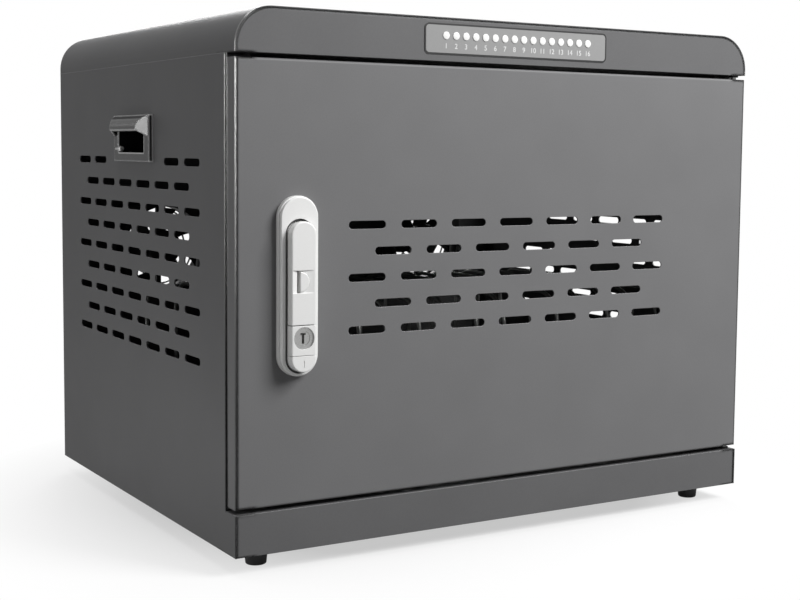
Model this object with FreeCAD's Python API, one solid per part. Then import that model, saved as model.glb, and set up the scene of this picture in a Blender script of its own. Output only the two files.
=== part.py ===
import FreeCAD, Part
import math
import os

Vector = FreeCAD.Vector
os.makedirs("parts", exist_ok=True)

# Sheet-metal body. A height or a rise is measured upwards from its underside
# or from the piece named, a drop downwards from its top, and a depth from the
# front plane that door, fascia and plinth share.
body_width = 540.0
body_depth = 450.0
body_height = 442.0
top_corner_radius = 32.0
sheet = 1.2
foot_height = 16.0

# Clearances
seam = 0.1
running_fit = 0.05
moving_gap = 0.3

# Door opening
plinth_height = 35.0
fascia_height = 37.0
door_gap = 4.0
door_thickness = 17.0
door_side_inset = 0.3
door_bend_radius = 2.0
door_lip = 12.0
jamb_depth = 20.0
jamb_width = 20.8
panel_inset = 0.5
front_flange_depth = 46.0
edge_break = 0.5

# Hinge pins, standing in the gaps above and below the door
hinge_side_offset = 6.0
hinge_depth = 10.0
pin_radius = 2.5
pin_collar_radius = 4.2
pin_collar_height = 5.0
pin_reach = 6.0
bush_wall = 0.9
bush_rim = 1.9
bush_rim_height = 1.5

# Vent slots: rows of n and n - 1 slots by turns, half a pitch apart
slot_height = 6.8
door_slot_length = 35.4
door_slot_pitch = 50.3
door_slot_row_pitch = 22.0
door_slot_rows = 5
door_slot_count = 7
door_slot_rise = 3.0
side_slot_length = 34.8
side_slot_pitch = 46.8
side_slot_row_pitch = 20.9
side_slot_rows = 9
side_slot_count = 7
side_slot_rise = 12.5
side_slot_shift = 5.3

# Door stiffeners and bumpers
stiffener_width = 18.0
stiffener_depth = 10.0
stiffener_inset = 83.0
stiffener_end_gap = 24.0
bumper_radius = 4.0
bumper_inset = 7.0
bumper_end_offset = 45.0

# Lock on the door
lock_offset = 52.8
lock_length = 146.5
lock_drop = 1.35
lock_base_width = 35.0
lock_base_step = 1.1
lock_base_step_height = 5.5
lock_base_proud = 8.0
lock_bar_width = 22.0
lock_bar_rise = 4.4
lock_bar_length = 121.9
lock_proud = 16.0
lock_edge_radius = 1.2
lock_groove = 1.8
lock_pocket_floor = 3.2
handle_rise = 43.1
handle_underside = 8.4
handle_block_gap = 0.8
end_cap_rise = 18.0
end_cap_gap = 0.4
end_cap_mark_width = 0.7
end_cap_mark_height = 5.6
end_cap_mark_depth = 0.4
handle_pivot_below_top = 7.0
handle_pivot_proud = 11.0
handle_lift_angle = 40.0
handle_pin_radius = 1.5
handle_pin_length = 18.0
bracket_width = 8.0
bracket_radius = 2.9
button_well_left = 5.8
button_well_right = 9.0
button_well_rise = 68.8
button_well_height = 18.2
button_well_depth = 2.2
button_slot_depth = 5.5
button_flat = 3.8
button_reach = 8.6
button_half_height = 8.2
button_proud = 0.4
button_travel = 2.0
button_edge_radius = 0.8
thumb_scoop_width = 4.6
thumb_scoop_depth = 1.5
cylinder_rise = 32.1
cylinder_radius = 9.0
cylinder_recess = 1.6
cylinder_rear = 18.0
plug_radius = 6.0
plug_recess = 2.2
key_slot_width = 2.2
key_slot_height = 8.8
key_slot_depth = 8.0
key_slot_bar_width = 4.6
key_slot_bar_height = 1.9
cam_depth = 22.5
cam_thickness = 2.5
cam_width = 14.0
cam_reach = 42.0
cam_square = 7.0
cam_screw_radius = 2.0
cam_screw_head_radius = 5.0
cam_screw_head = 2.6
cam_screw_length = 9.0
lock_nut_flats = 24.0
lock_nut_thickness = 5.0
lock_screw_radius = 2.0
lock_screw_head_radius = 3.6
lock_screw_head = 2.4
lock_screw_length = 6.4
lock_screw_end_offset = 9.5

# Side grips
grip_length = 92.0
grip_height = 42.8
grip_shift = 1.0
grip_drop = 104.5
grip_proud = 4.3
grip_edge_radius = 1.2
hood_proud = 12.7
hood_lip_rise = 29.1
hood_root_rise = 23.3
hood_bulge = 2.6
hood_hip = 11.0
hood_wall = 2.0
grip_mouth_length = 67.5
grip_mouth_rise = 8.4
grip_mouth_height = 31.5
grip_mouth_radius = 0.5
grip_pocket_depth = 26.0
grip_wall = 2.0
grip_screw_head_radius = 2.7
grip_screw_head = 1.8
grip_screw_radius = 1.2
grip_screw_length = 9.0
grip_screw_slot = 1.2
grip_screw_outward = 1.5

# Indicator panel in the fascia
panel_width = 194.0
panel_height = 26.2
panel_drop = 18.3
panel_corner_radius = 4.5
panel_thickness = 0.5
lamp_count = 16
lamp_pitch = 10.08
lamp_drop = 15.3
lens_radius = 3.3
lens_proud = 0.4
board_thickness = 1.6
lamp_board_depth = 10.0
lamp_size = 3.0
lamp_thickness = 1.4
pillar_radius = 2.5
lamp_pillar_inset = 5.0

# Bays
bay_count = 16
divider_wire_radius = 2.0
divider_front_gap = 14.0
divider_rear_gap = 58.0
divider_height = 155.5
divider_bend = 30.0
divider_below_tray = 4.0
tray_front = 48.0
tray_rear_gap = 50.0
tray_rise = 4.5
tray_sheet = 1.5
tray_side_margin = 0.5
mat_side_gap = 1.5
mat_thickness = 2.0
mat_end_gap = 4.0

# Charging unit under the top, at the rear
housing_length = 150.0
housing_drop = 112.0
housing_side_gap = 0.5
charger_board_gap = 2.0
charger_board_margin = 1.5
charger_board_length = 34.0
charger_pillar_height = 14.0
charger_pillar_inset = 5.0
charger_pillar_columns = 5
port_width = 14.4
port_height = 6.8
port_length = 15.0
port_proud = 0.8
port_wall = 0.5
port_tongue_width = 11.0
port_tongue_thickness = 1.8
port_back = 3.0
supply_length = 180.0
supply_depth = 90.0
supply_height = 42.0
supply_rear_gap = 15.0
supply_side_gap = 13.5
supply_gap = 20.0
supply_count = 2

# Rear panel
rear_return = 14.0
fan_size = 92.0
fan_thickness = 25.0
fan_bore_radius = 44.0
fan_corner_radius = 5.0
fan_inset = 105.0
fan_drop = 108.0
fan_hole_spacing = 82.5
fan_hub_radius = 19.0
fan_hub_depth = 17.0
fan_hub_sunk = 1.0
fan_hub_wall = 1.5
fan_blade_count = 7
fan_blade_tip_gap = 1.5
fan_blade_chord = 19.0
fan_blade_thickness = 1.4
fan_blade_pitch_angle = 36.0
fan_motor_radius = 20.0
fan_motor_thickness = 4.0
fan_post_radius = 7.0
fan_shaft_radius = 1.5
fan_strut_width = 5.0
fan_screw_radius = 1.8
fan_screw_head_radius = 3.4
fan_screw_head = 1.8
fan_screw_length = 9.0
guard_proud = 4.0
guard_wire = 2.0
guard_ring_count = 4
guard_ring_step = 9.5
guard_outer_radius = 43.0
guard_eye_radius = 5.0
service_drop = 57.0
inlet_inset = 65.0
inlet_flange_width = 50.0
inlet_flange_height = 24.0
inlet_flange_thickness = 2.5
inlet_body_width = 28.0
inlet_body_height = 20.0
inlet_wall = 1.6
inlet_depth = 18.0
inlet_screw_spacing = 40.0
inlet_screw_radius = 1.5
inlet_screw_head_radius = 2.7
inlet_screw_head = 1.2
inlet_screw_length = 7.0
inlet_pin_width = 2.0
inlet_pin_height = 4.0
inlet_pin_length = 11.0
inlet_pin_spacing = 7.0
inlet_pin_drop = 2.0
switch_inset = 110.0
switch_flange_width = 15.0
switch_flange_height = 24.0
switch_flange_thickness = 2.0
switch_flange_lip = 1.0
switch_corner_radius = 1.5
switch_wall = 1.8
switch_end_wall = 1.3
switch_depth = 16.0
rocker_pivot_depth = 2.0
rocker_end_proud = 3.3
rocker_middle_proud = 2.2
rocker_radius = 6.0
rocker_end_depth = 1.0
rocker_half_angle = 8.0
rocker_end_gap = 1.0
rocker_axle_radius = 1.2

# Feet
foot_inset = 32.5
foot_top_radius = 10.5
foot_bottom_radius = 8.75
foot_edge_radius = 1.5
foot_recess_radius = 4.2
foot_recess_depth = 7.0
foot_screw_radius = 2.0
foot_screw_head_radius = 3.6
foot_screw_head = 2.4
foot_nut_flats = 7.0
foot_nut_thickness = 3.2
pan_flange = 14.0

# Derived places: x from the middle, y from the middle of the overall
# depth, z from the ground the feet stand on
half_width = body_width / 2
front = -(body_depth + guard_proud - lock_proud) / 2
rear = front + body_depth
base = foot_height
inner_half = half_width - sheet - seam
inner_radius = top_corner_radius - sheet - seam
inner_top = body_height - sheet - seam
plate_back = front + panel_inset + sheet
rear_inside = rear - sheet
opening_half = half_width - sheet - jamb_width
fascia_bottom = body_height - fascia_height
door_bottom = plinth_height + door_gap
door_top = fascia_bottom - door_gap
door_middle = (door_bottom + door_top) / 2
hinge_x = half_width - hinge_side_offset
hinge_y = front + hinge_depth
lock_x = -half_width + lock_offset
lock_middle = door_middle - lock_drop
lock_bottom = lock_middle - lock_length / 2
lock_top = lock_bottom + lock_length
lock_bar_bottom = lock_bottom + lock_bar_rise
lock_bar_top = lock_bar_bottom + lock_bar_length
handle_bottom = lock_bottom + handle_rise
end_cap_top = lock_bottom + end_cap_rise
button_well_bottom = lock_bottom + button_well_rise
button_well_top = button_well_bottom + button_well_height
cylinder_height = lock_bottom + cylinder_rise
grip_low = body_height - grip_drop - grip_height / 2
grip_high = grip_low + grip_height
grip_mouth_bottom = grip_low + grip_mouth_rise
grip_mouth_top = grip_mouth_bottom + grip_mouth_height
grip_centre_depth = body_depth / 2 + grip_shift
lamp_height = body_height - lamp_drop
bay_pitch = 2 * opening_half / bay_count
tray_height = plinth_height + tray_rise
fan_x = half_width - fan_inset
fan_height = body_height - housing_drop - fan_drop
inlet_x = half_width - inlet_inset
switch_x = half_width - switch_inset

nodes = {}


def box(x0, x1, y0, y1, z0, z1):
    return Part.makeBox(x1 - x0, y1 - y0, z1 - z0, Vector(x0, y0, z0))


def rod(radius, start, end):
    start = Vector(*start)
    along = Vector(*end) - start
    return Part.makeCylinder(radius, along.Length, start, along)


def prism(points, push):
    corners = [Vector(*point) for point in points]
    outline = Part.makePolygon(corners + corners[:1])
    return Part.Face(outline).extrude(Vector(*push))


def stadium(centre, long_way, short_way, length, width, push):
    # A bar with half-round ends, its outline on the plane of the two ways.
    centre = Vector(*centre)
    long_way = Vector(*long_way)
    short_way = Vector(*short_way)
    radius = width / 2
    straight = length / 2 - radius
    first = centre - long_way * straight
    last = centre + long_way * straight
    outline = Part.Wire([
        Part.makeLine(first + short_way * radius, last + short_way * radius),
        Part.Arc(last + short_way * radius, last + long_way * radius,
                 last - short_way * radius).toShape(),
        Part.makeLine(last - short_way * radius, first - short_way * radius),
        Part.Arc(first - short_way * radius, first - long_way * radius,
                 first + short_way * radius).toShape(),
    ])
    return Part.Face(outline).extrude(Vector(*push))


def arch(half, low, high, radius, y0, y1):
    # Upright plate with square lower and rounded upper corners.
    slant = radius * (1 - math.sqrt(0.5))
    outline = Part.Wire([
        Part.makeLine(Vector(-half, y0, low), Vector(half, y0, low)),
        Part.makeLine(Vector(half, y0, low), Vector(half, y0, high - radius)),
        Part.Arc(Vector(half, y0, high - radius), Vector(half - slant, y0, high - slant),
                 Vector(half - radius, y0, high)).toShape(),
        Part.makeLine(Vector(half - radius, y0, high), Vector(radius - half, y0, high)),
        Part.Arc(Vector(radius - half, y0, high), Vector(slant - half, y0, high - slant),
                 Vector(-half, y0, high - radius)).toShape(),
        Part.makeLine(Vector(-half, y0, high - radius), Vector(-half, y0, low)),
    ])
    return Part.Face(outline).extrude(Vector(0, y1 - y0, 0))


def rounded_plate(half_x, half_z, x, z, radius, y0, y1):
    plate = box(x - half_x, x + half_x, y0, y1, z - half_z, z + half_z)
    return plate.makeFillet(radius, edges_along(plate, 1))


def edges_along(shape, axis):
    # The straight edges that run along one axis.
    found = []
    for edge in shape.Edges:
        run = edge.Vertexes[-1].Point - edge.Vertexes[0].Point
        if run.Length > 1e-6 and abs(run[axis]) > run.Length - 1e-6:
            found.append(edge)
    return found


def edges_on_plane(shape, axis, place):
    # The edges that lie wholly on the plane where one coordinate has this value.
    found = []
    for edge in shape.Edges:
        limits = edge.BoundBox
        low = (limits.XMin, limits.YMin, limits.ZMin)[axis]
        high = (limits.XMax, limits.YMax, limits.ZMax)[axis]
        if abs(low - place) < 1e-4 and abs(high - place) < 1e-4:
            found.append(edge)
    return found


def hexagon(x, y, z, flats, push):
    # Nut blank, its flats apart as given, its axis along the push.
    reach = flats / math.sqrt(3)
    points = []
    for corner in range(6):
        angle = math.radians(60 * corner)
        across = reach * math.cos(angle)
        up = reach * math.sin(angle)
        if push[2]:
            points.append((x + across, y + up, z))
        else:
            points.append((x + across, y, z + up))
    return prism(points, push)


def mirrored(shape):
    return shape.mirror(Vector(0, 0, 0), Vector(1, 0, 0))


def group(shapes):
    return Part.makeCompound(shapes)


def row_places(rows, long_row, pitch, row_pitch):
    # Slot centres of a field of rows, from the middle of the field.
    places = []
    for row in range(rows):
        count = long_row - row % 2
        height = (rows - 1) / 2 * row_pitch - row * row_pitch
        for column in range(count):
            places.append(((column - (count - 1) / 2) * pitch, height))
    return places


# Body sides: flat sheets, cut back behind the door, with a field of slots
# and the cut-out of the grip
side = prism([
    (-half_width, front, base),
    (-half_width, rear, base),
    (-half_width, rear, base + fascia_bottom),
    (-half_width, front + jamb_depth, base + fascia_bottom),
    (-half_width, front + jamb_depth, base + plinth_height),
    (-half_width, front, base + plinth_height),
], (sheet, 0, 0))
side_cuts = []
for along, up in row_places(side_slot_rows, side_slot_count, side_slot_pitch,
                            side_slot_row_pitch):
    depth = body_depth / 2 + side_slot_shift + along
    height = body_height / 2 + side_slot_rise + up
    beside_grip = abs(depth - grip_centre_depth) > (grip_length + side_slot_length) / 2
    below_grip = height + slot_height / 2 < grip_low
    if beside_grip or below_grip:
        side_cuts.append(stadium((-half_width - 1, front + depth, base + height), (0, 1, 0),
                                 (0, 0, 1), side_slot_length, slot_height, (sheet + 2, 0, 0)))
mouth_front = front + grip_centre_depth - grip_mouth_length / 2
mouth_rear = mouth_front + grip_mouth_length
side_cuts.append(box(-half_width - 1, -half_width + sheet + 1,
                     mouth_front - grip_wall - seam, mouth_rear + grip_wall + seam,
                     base + grip_mouth_bottom - grip_wall - seam,
                     base + grip_mouth_top + grip_wall + seam))
side = side.cut(side_cuts)
nodes["left_side_panel"] = side
nodes["right_side_panel"] = mirrored(side)

# Rounded top of the wrap, down to the level of the door opening
cover = arch(half_width, base + fascia_bottom, base + body_height, top_corner_radius,
             front, rear)
cover = cover.makeFillet(edge_break, [edge for edge in edges_on_plane(cover, 1, front)
                                      if edge.BoundBox.ZMax > base + fascia_bottom + 1])
cover = cover.cut(arch(half_width - sheet, base + fascia_bottom - 1,
                       base + body_height - sheet, top_corner_radius - sheet,
                       front - 1, rear + 1))
nodes["top_cover"] = cover

# Fascia above the door: a plate inside the wrap with a flange over the door
lamp_places = [(number - (lamp_count - 1) / 2) * lamp_pitch for number in range(lamp_count)]
fascia = arch(inner_half, base + fascia_bottom, base + inner_top, inner_radius,
              front + panel_inset, plate_back)
fascia = fascia.fuse(box(-inner_half, inner_half, front + panel_inset,
                         front + front_flange_depth,
                         base + fascia_bottom, base + fascia_bottom + sheet))
bush_outer = pin_radius + running_fit + bush_wall
fascia = fascia.removeSplitter().cut(
    [rod(lens_radius + seam, (x, front - 1, base + lamp_height),
         (x, plate_back + 1, base + lamp_height)) for x in lamp_places]
    + [rod(bush_outer + running_fit, (hinge_x, hinge_y, base + fascia_bottom - 1),
           (hinge_x, hinge_y, base + fascia_bottom + sheet + 1))])
nodes["front_fascia"] = fascia

# Plinth below the door, with a flange under it
plinth = box(-inner_half, inner_half, front + panel_inset, plate_back,
             base, base + plinth_height)
plinth = plinth.fuse(box(-inner_half, inner_half, front + panel_inset,
                         front + front_flange_depth,
                         base + plinth_height - sheet, base + plinth_height))
plinth = plinth.removeSplitter().cut(
    rod(bush_outer + running_fit, (hinge_x, hinge_y, base + plinth_height - sheet - 1),
        (hinge_x, hinge_y, base + plinth_height + 1)))
nodes["plinth_panel"] = plinth

# Floor pan with upturned sides, drilled for the feet
foot_x = half_width - foot_inset
foot_places = [(x, y) for x in (-foot_x, foot_x)
               for y in (front + foot_inset, rear - foot_inset)]
pan_front = plate_back + seam
pan = box(-inner_half, inner_half, pan_front, rear, base, base + sheet)
for way in (-1, 1):
    edge = sorted((way * inner_half, way * (inner_half - sheet)))
    pan = pan.fuse(box(edge[0], edge[1], pan_front, rear - rear_return - seam,
                       base, base + pan_flange))
pan = pan.removeSplitter().cut([rod(foot_screw_radius + seam, (x, y, base - 1),
                                    (x, y, base + sheet + 1)) for x, y in foot_places])
nodes["floor_pan"] = pan

# Jambs: inward flanges of the sides that stand behind the door's edges
jamb = box(-inner_half, -opening_half, front + jamb_depth, front + jamb_depth + sheet,
           base + plinth_height + seam, base + fascia_bottom - seam)
nodes["left_jamb"] = jamb
nodes["right_jamb"] = mirrored(jamb)

# Rear panel: a pan inside the wrap, cut for fans, inlet and switch
fan_places = [(-fan_x, base + fan_height), (fan_x, base + fan_height)]
screw_step = fan_hole_spacing / 2
fan_screw_places = [(x + a * screw_step, z + b * screw_step)
                    for x, z in fan_places for a in (-1, 1) for b in (-1, 1)]
rear_low = base + sheet + seam
panel = arch(inner_half, rear_low, base + inner_top, inner_radius, rear - rear_return, rear)
panel = panel.cut(arch(inner_half - sheet, rear_low + sheet, base + inner_top - sheet,
                       inner_radius - sheet, rear - rear_return - 1, rear_inside))
service = base + body_height - service_drop
rear_cuts = [rod(fan_bore_radius, (x, rear_inside - 1, z), (x, rear + 1, z))
             for x, z in fan_places]
rear_cuts += [rod(fan_screw_radius + seam, (x, rear_inside - 1, z), (x, rear + 1, z))
              for x, z in fan_screw_places]
rear_cuts.append(box(inlet_x - inlet_body_width / 2 - seam, inlet_x + inlet_body_width / 2 + seam,
                     rear_inside - 1, rear + 1, service - inlet_body_height / 2 - seam,
                     service + inlet_body_height / 2 + seam))
inlet_screw_places = [inlet_x - inlet_screw_spacing / 2, inlet_x + inlet_screw_spacing / 2]
rear_cuts += [rod(inlet_screw_radius + seam, (x, rear_inside - 1, service),
                  (x, rear + 1, service)) for x in inlet_screw_places]
switch_half_x = switch_flange_width / 2 - switch_flange_lip
switch_half_z = switch_flange_height / 2 - switch_flange_lip
rear_cuts.append(box(switch_x - switch_half_x - seam, switch_x + switch_half_x + seam,
                     rear_inside - 1, rear + 1, service - switch_half_z - seam,
                     service + switch_half_z + seam))
nodes["rear_panel"] = panel.cut(rear_cuts)

# Door: a pan with bent-in lips on its upright edges, slotted, pierced for the
# lock cylinder, the lock screws and the hinge pins
door_half = half_width - door_side_inset
door = box(-door_half, door_half, front, front + door_thickness,
           base + door_bottom, base + door_top)
door = door.makeFillet(door_bend_radius, edges_on_plane(door, 1, front))
door = door.cut([
    box(-door_half + sheet, door_half - sheet, front + sheet, front + door_thickness - sheet,
        base + door_bottom + sheet, base + door_top - sheet),
    box(-door_half + door_lip, door_half - door_lip, front + sheet, front + door_thickness + 1,
        base + door_bottom + sheet, base + door_top - sheet),
])
cylinder_z = base + cylinder_height
lock_screw_places = [base + lock_bottom + lock_screw_end_offset,
                     base + lock_top - lock_screw_end_offset]
door_cuts = [stadium((x, front - 1, base + door_middle + door_slot_rise + z), (1, 0, 0), (0, 0, 1),
                     door_slot_length, slot_height, (0, sheet + 2, 0))
             for x, z in row_places(door_slot_rows, door_slot_count, door_slot_pitch,
                                    door_slot_row_pitch)]
door_cuts.append(rod(cylinder_radius + seam, (lock_x, front - 1, cylinder_z),
                     (lock_x, front + sheet + 1, cylinder_z)))
door_cuts += [rod(lock_screw_radius + seam, (lock_x, front - 1, z), (lock_x, front + sheet + 1, z))
              for z in lock_screw_places]
door_cuts.append(rod(pin_radius + running_fit, (hinge_x, hinge_y, base + door_bottom - 1),
                     (hinge_x, hinge_y, base + door_top + 1)))
nodes["door_panel"] = door.cut(door_cuts)

# Stiffening channels welded behind the door's face
channels = []
for way in (-1, 1):
    middle = way * (half_width - stiffener_inset)
    low = base + door_bottom + stiffener_end_gap
    high = base + door_top - stiffener_end_gap
    channel = box(middle - stiffener_width / 2, middle + stiffener_width / 2, front + sheet,
                  front + sheet + stiffener_depth, low, high)
    channels.append(channel.cut(box(middle - stiffener_width / 2 + sheet,
                                    middle + stiffener_width / 2 - sheet, front,
                                    front + stiffener_depth, low - 1, high + 1)))
nodes["door_stiffeners"] = group(channels)

# Hinge pins fixed in the door, and the bushes in fascia and plinth they turn in
pins = []
bushes = []
for edge, up in ((base + door_top, 1), (base + door_bottom, -1)):
    tip = edge + up * (door_gap + pin_reach)
    inside = edge - up * sheet
    pin = rod(pin_radius, (hinge_x, hinge_y, inside - up * pin_collar_height),
              (hinge_x, hinge_y, tip))
    pins.append(pin.fuse(rod(pin_collar_radius, (hinge_x, hinge_y, inside - up * pin_collar_height),
                             (hinge_x, hinge_y, inside))).removeSplitter())
    seat = edge + up * door_gap
    sleeve = rod(bush_outer, (hinge_x, hinge_y, seat), (hinge_x, hinge_y, seat + up * pin_reach))
    rim = rod(pin_radius + running_fit + bush_rim, (hinge_x, hinge_y, seat),
              (hinge_x, hinge_y, seat - up * bush_rim_height))
    bushes.append(sleeve.fuse(rim).removeSplitter().cut(
        rod(pin_radius + running_fit, (hinge_x, hinge_y, seat - up * 2 * bush_rim_height),
            (hinge_x, hinge_y, tip + up))))
nodes["hinge_pins"] = group(pins)
nodes["hinge_bushes"] = group(bushes)

# Rubber bumpers on the left jamb that the door's lip closes against
bumper_x = -door_half + bumper_inset
nodes["door_bumpers"] = group([
    rod(bumper_radius, (bumper_x, front + door_thickness + moving_gap, z),
        (bumper_x, front + jamb_depth, z))
    for z in (base + door_bottom + bumper_end_offset, base + door_top - bumper_end_offset)])

# Lock base: a stepped oblong casting with a long pocket for handle and block
lock_base = stadium((lock_x, front, base + lock_middle), (0, 0, 1), (1, 0, 0), lock_length,
                    lock_base_width, (0, -lock_base_step_height, 0))
upper_step = stadium((lock_x, front, base + lock_middle), (0, 0, 1), (1, 0, 0),
                     lock_length - 2 * lock_base_step, lock_base_width - 2 * lock_base_step,
                     (0, -lock_base_proud, 0))
upper_step = upper_step.makeFillet(lock_edge_radius / 2,
                                   edges_on_plane(upper_step, 1, front - lock_base_proud))
bar_middle = base + (lock_bar_bottom + lock_bar_top) / 2
pocket = stadium((lock_x, front - lock_pocket_floor, bar_middle), (0, 0, 1), (1, 0, 0),
                 lock_bar_length + 2 * lock_groove, lock_bar_width + 2 * lock_groove,
                 (0, -lock_base_proud, 0))
lock_base = lock_base.fuse(upper_step).removeSplitter().cut(
    [pocket, rod(cylinder_radius + seam, (lock_x, front + 1, cylinder_z),
                 (lock_x, front - lock_base_proud, cylinder_z))]
    + [rod(lock_screw_radius + seam, (lock_x, front + 1, z),
           (lock_x, front + sheet - lock_screw_length - seam, z)) for z in lock_screw_places])
nodes["lock_base"] = lock_base


def lock_bar(inner_end):
    # The long raised bar that handle, block and end cap are cut from.
    bar = stadium((lock_x, front - inner_end, bar_middle), (0, 0, 1), (1, 0, 0), lock_bar_length,
                  lock_bar_width, (0, inner_end - lock_proud, 0))
    return bar.makeFillet(lock_edge_radius, edges_on_plane(bar, 1, front - lock_proud))


def lock_band(low, high):
    reach = lock_bar_width
    return box(lock_x - reach, lock_x + reach, front - lock_proud - 1, front + 1,
               base + low, base + high)


# Handle: the upper length of the bar, with a sloping well for the button, a deep
# slot and a thumb scoop beside it, and a slot over the bracket it swings on
pivot_y = front - handle_pivot_proud
pivot_z = base + lock_bar_top - handle_pivot_below_top
well_middle = base + (button_well_bottom + button_well_top) / 2
well_floor = front - lock_proud + button_well_depth


def button_outline(margin, y):
    # Half an ellipse behind a flat on the left.
    flat = lock_x - button_flat - margin
    points = []
    for step in range(13):
        angle = math.radians(90 - 15 * step)
        points.append(Vector(flat + (button_reach + 2 * margin) * math.cos(angle), y,
                             well_middle + (button_half_height + margin) * math.sin(angle)))
    curve = Part.BSplineCurve()
    curve.interpolate(points)
    return Part.Face(Part.Wire([curve.toShape(), Part.makeLine(points[-1], points[0])]))


handle = lock_bar(handle_underside).common(lock_band(handle_bottom, lock_bar_top + 1))
clear_radius = bracket_radius + moving_gap
slot_half = bracket_width / 2 + moving_gap
# The slot is wide enough for the bracket with the handle closed and fully lifted.
lift = math.radians(handle_lift_angle)
slot_left = lock_x - slot_half
bracket_slot = prism([
    (slot_left, pivot_y, base + lock_top),
    (slot_left, front, base + lock_top),
    (slot_left, front, pivot_z - clear_radius),
    (slot_left, pivot_y, pivot_z - clear_radius),
    (slot_left, pivot_y, pivot_z),
    (slot_left, pivot_y - clear_radius * math.sin(lift), pivot_z + clear_radius * math.cos(lift)),
    (slot_left, pivot_y, pivot_z + clear_radius / math.cos(lift)),
], (2 * slot_half, 0, 0))
well_left = lock_x - button_well_left
handle = handle.cut([
    prism([(well_left, front - lock_proud - 1, base + button_well_bottom),
           (lock_x + button_well_right, front - lock_proud - 1, base + button_well_bottom),
           (lock_x + button_well_right, front - lock_proud, base + button_well_bottom),
           (well_left, well_floor, base + button_well_bottom)], (0, 0, button_well_height)),
    box(well_left, lock_x - button_flat, front - lock_proud - 1, front - lock_proud + button_slot_depth,
        base + button_well_bottom, base + button_well_top),
    button_outline(moving_gap, front).extrude(Vector(0, -lock_proud, 0)),
    prism([(well_left - thumb_scoop_width, front - lock_proud, base + button_well_bottom),
           (well_left + 0.1, front - lock_proud, base + button_well_bottom),
           (well_left + 0.1, front - lock_proud + thumb_scoop_depth, base + button_well_bottom)],
          (0, 0, button_well_height)),
    rod(clear_radius, (lock_x - slot_half, pivot_y, pivot_z), (lock_x + slot_half, pivot_y, pivot_z)),
    bracket_slot,
    rod(handle_pin_radius + running_fit / 2, (lock_x - handle_pin_length / 2 - seam, pivot_y, pivot_z),
        (lock_x + handle_pin_length / 2 + seam, pivot_y, pivot_z)),
])
nodes["lock_handle"] = handle

# Bracket that stands in the lock base, and the pin through it and the handle
bracket = box(lock_x - bracket_width / 2, lock_x + bracket_width / 2, pivot_y,
              front - lock_pocket_floor, pivot_z - bracket_radius, pivot_z + bracket_radius)
bracket = bracket.fuse(rod(bracket_radius, (lock_x - bracket_width / 2, pivot_y, pivot_z),
                           (lock_x + bracket_width / 2, pivot_y, pivot_z)))
nodes["handle_bracket"] = bracket.removeSplitter().cut(
    rod(handle_pin_radius + running_fit, (lock_x - bracket_width, pivot_y, pivot_z),
        (lock_x + bracket_width, pivot_y, pivot_z)))
nodes["handle_pin"] = rod(handle_pin_radius, (lock_x - handle_pin_length / 2, pivot_y, pivot_z),
                          (lock_x + handle_pin_length / 2, pivot_y, pivot_z))

# Release button in the handle's well
button_face = front - lock_proud - button_proud
button_inner_end = lock_base_proud + button_travel + 2 * moving_gap
button = button_outline(0, front - button_inner_end).extrude(
    Vector(0, button_face - front + button_inner_end, 0))
nodes["release_button"] = button.makeFillet(button_edge_radius,
                                            edges_on_plane(button, 1, button_face))

# Cylinder block and end cap: the fixed lower length of the bar
block = lock_bar(lock_pocket_floor).common(
    lock_band(end_cap_top + end_cap_gap / 2, handle_bottom - handle_block_gap))
nodes["cylinder_block"] = block.cut(rod(cylinder_radius + seam, (lock_x, front, cylinder_z),
                                        (lock_x, front - lock_proud - 1, cylinder_z)))
end_cap = lock_bar(lock_pocket_floor).common(
    lock_band(lock_bar_bottom - 1, end_cap_top - end_cap_gap / 2))
mark_middle = base + (lock_bar_bottom + end_cap_top) / 2
nodes["lock_end_cap"] = end_cap.cut([
    box(lock_x - end_cap_mark_width / 2, lock_x + end_cap_mark_width / 2, front - lock_proud - 1,
        front - lock_proud + end_cap_mark_depth, mark_middle - end_cap_mark_height / 2,
        mark_middle + end_cap_mark_height / 2),
    rod(lock_screw_radius + seam, (lock_x, front, lock_screw_places[0]),
        (lock_x, front + sheet - lock_screw_length - seam, lock_screw_places[0])),
])

# Lock cylinder, the plug that turns in it, and the nut behind the door
cylinder_face = front - lock_proud + cylinder_recess
cylinder = rod(cylinder_radius, (lock_x, cylinder_face, cylinder_z),
               (lock_x, front + cylinder_rear, cylinder_z))
nodes["lock_cylinder"] = cylinder.cut(
    rod(plug_radius + running_fit, (lock_x, cylinder_face - 1, cylinder_z),
        (lock_x, front + cylinder_rear + 1, cylinder_z)))
plug_face = front - lock_proud + plug_recess
cam_front = front + cam_depth
cam_rear = cam_front + cam_thickness
plug = rod(plug_radius, (lock_x, plug_face, cylinder_z), (lock_x, cam_front - seam, cylinder_z))
plug = plug.fuse(box(lock_x - cam_square / 2, lock_x + cam_square / 2, cam_front - seam, cam_rear,
                     cylinder_z - cam_square / 2, cylinder_z + cam_square / 2))
nodes["key_plug"] = plug.removeSplitter().cut([
    box(lock_x - key_slot_width / 2, lock_x + key_slot_width / 2, plug_face - 1,
        plug_face + key_slot_depth, cylinder_z - key_slot_height / 2,
        cylinder_z + key_slot_height / 2),
    box(lock_x - key_slot_bar_width / 2, lock_x + key_slot_bar_width / 2, plug_face - 1,
        plug_face + key_slot_depth, cylinder_z + key_slot_height / 2 - key_slot_bar_height,
        cylinder_z + key_slot_height / 2),
    rod(cam_screw_radius + running_fit, (lock_x, cam_rear - cam_screw_length, cylinder_z),
        (lock_x, cam_rear + 1, cylinder_z)),
])
nut = hexagon(lock_x, front + sheet, cylinder_z, lock_nut_flats, (0, lock_nut_thickness, 0))
nodes["lock_nut"] = nut.cut(rod(cylinder_radius + running_fit, (lock_x, front, cylinder_z),
                                (lock_x, front + sheet + lock_nut_thickness + 1, cylinder_z)))

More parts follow.
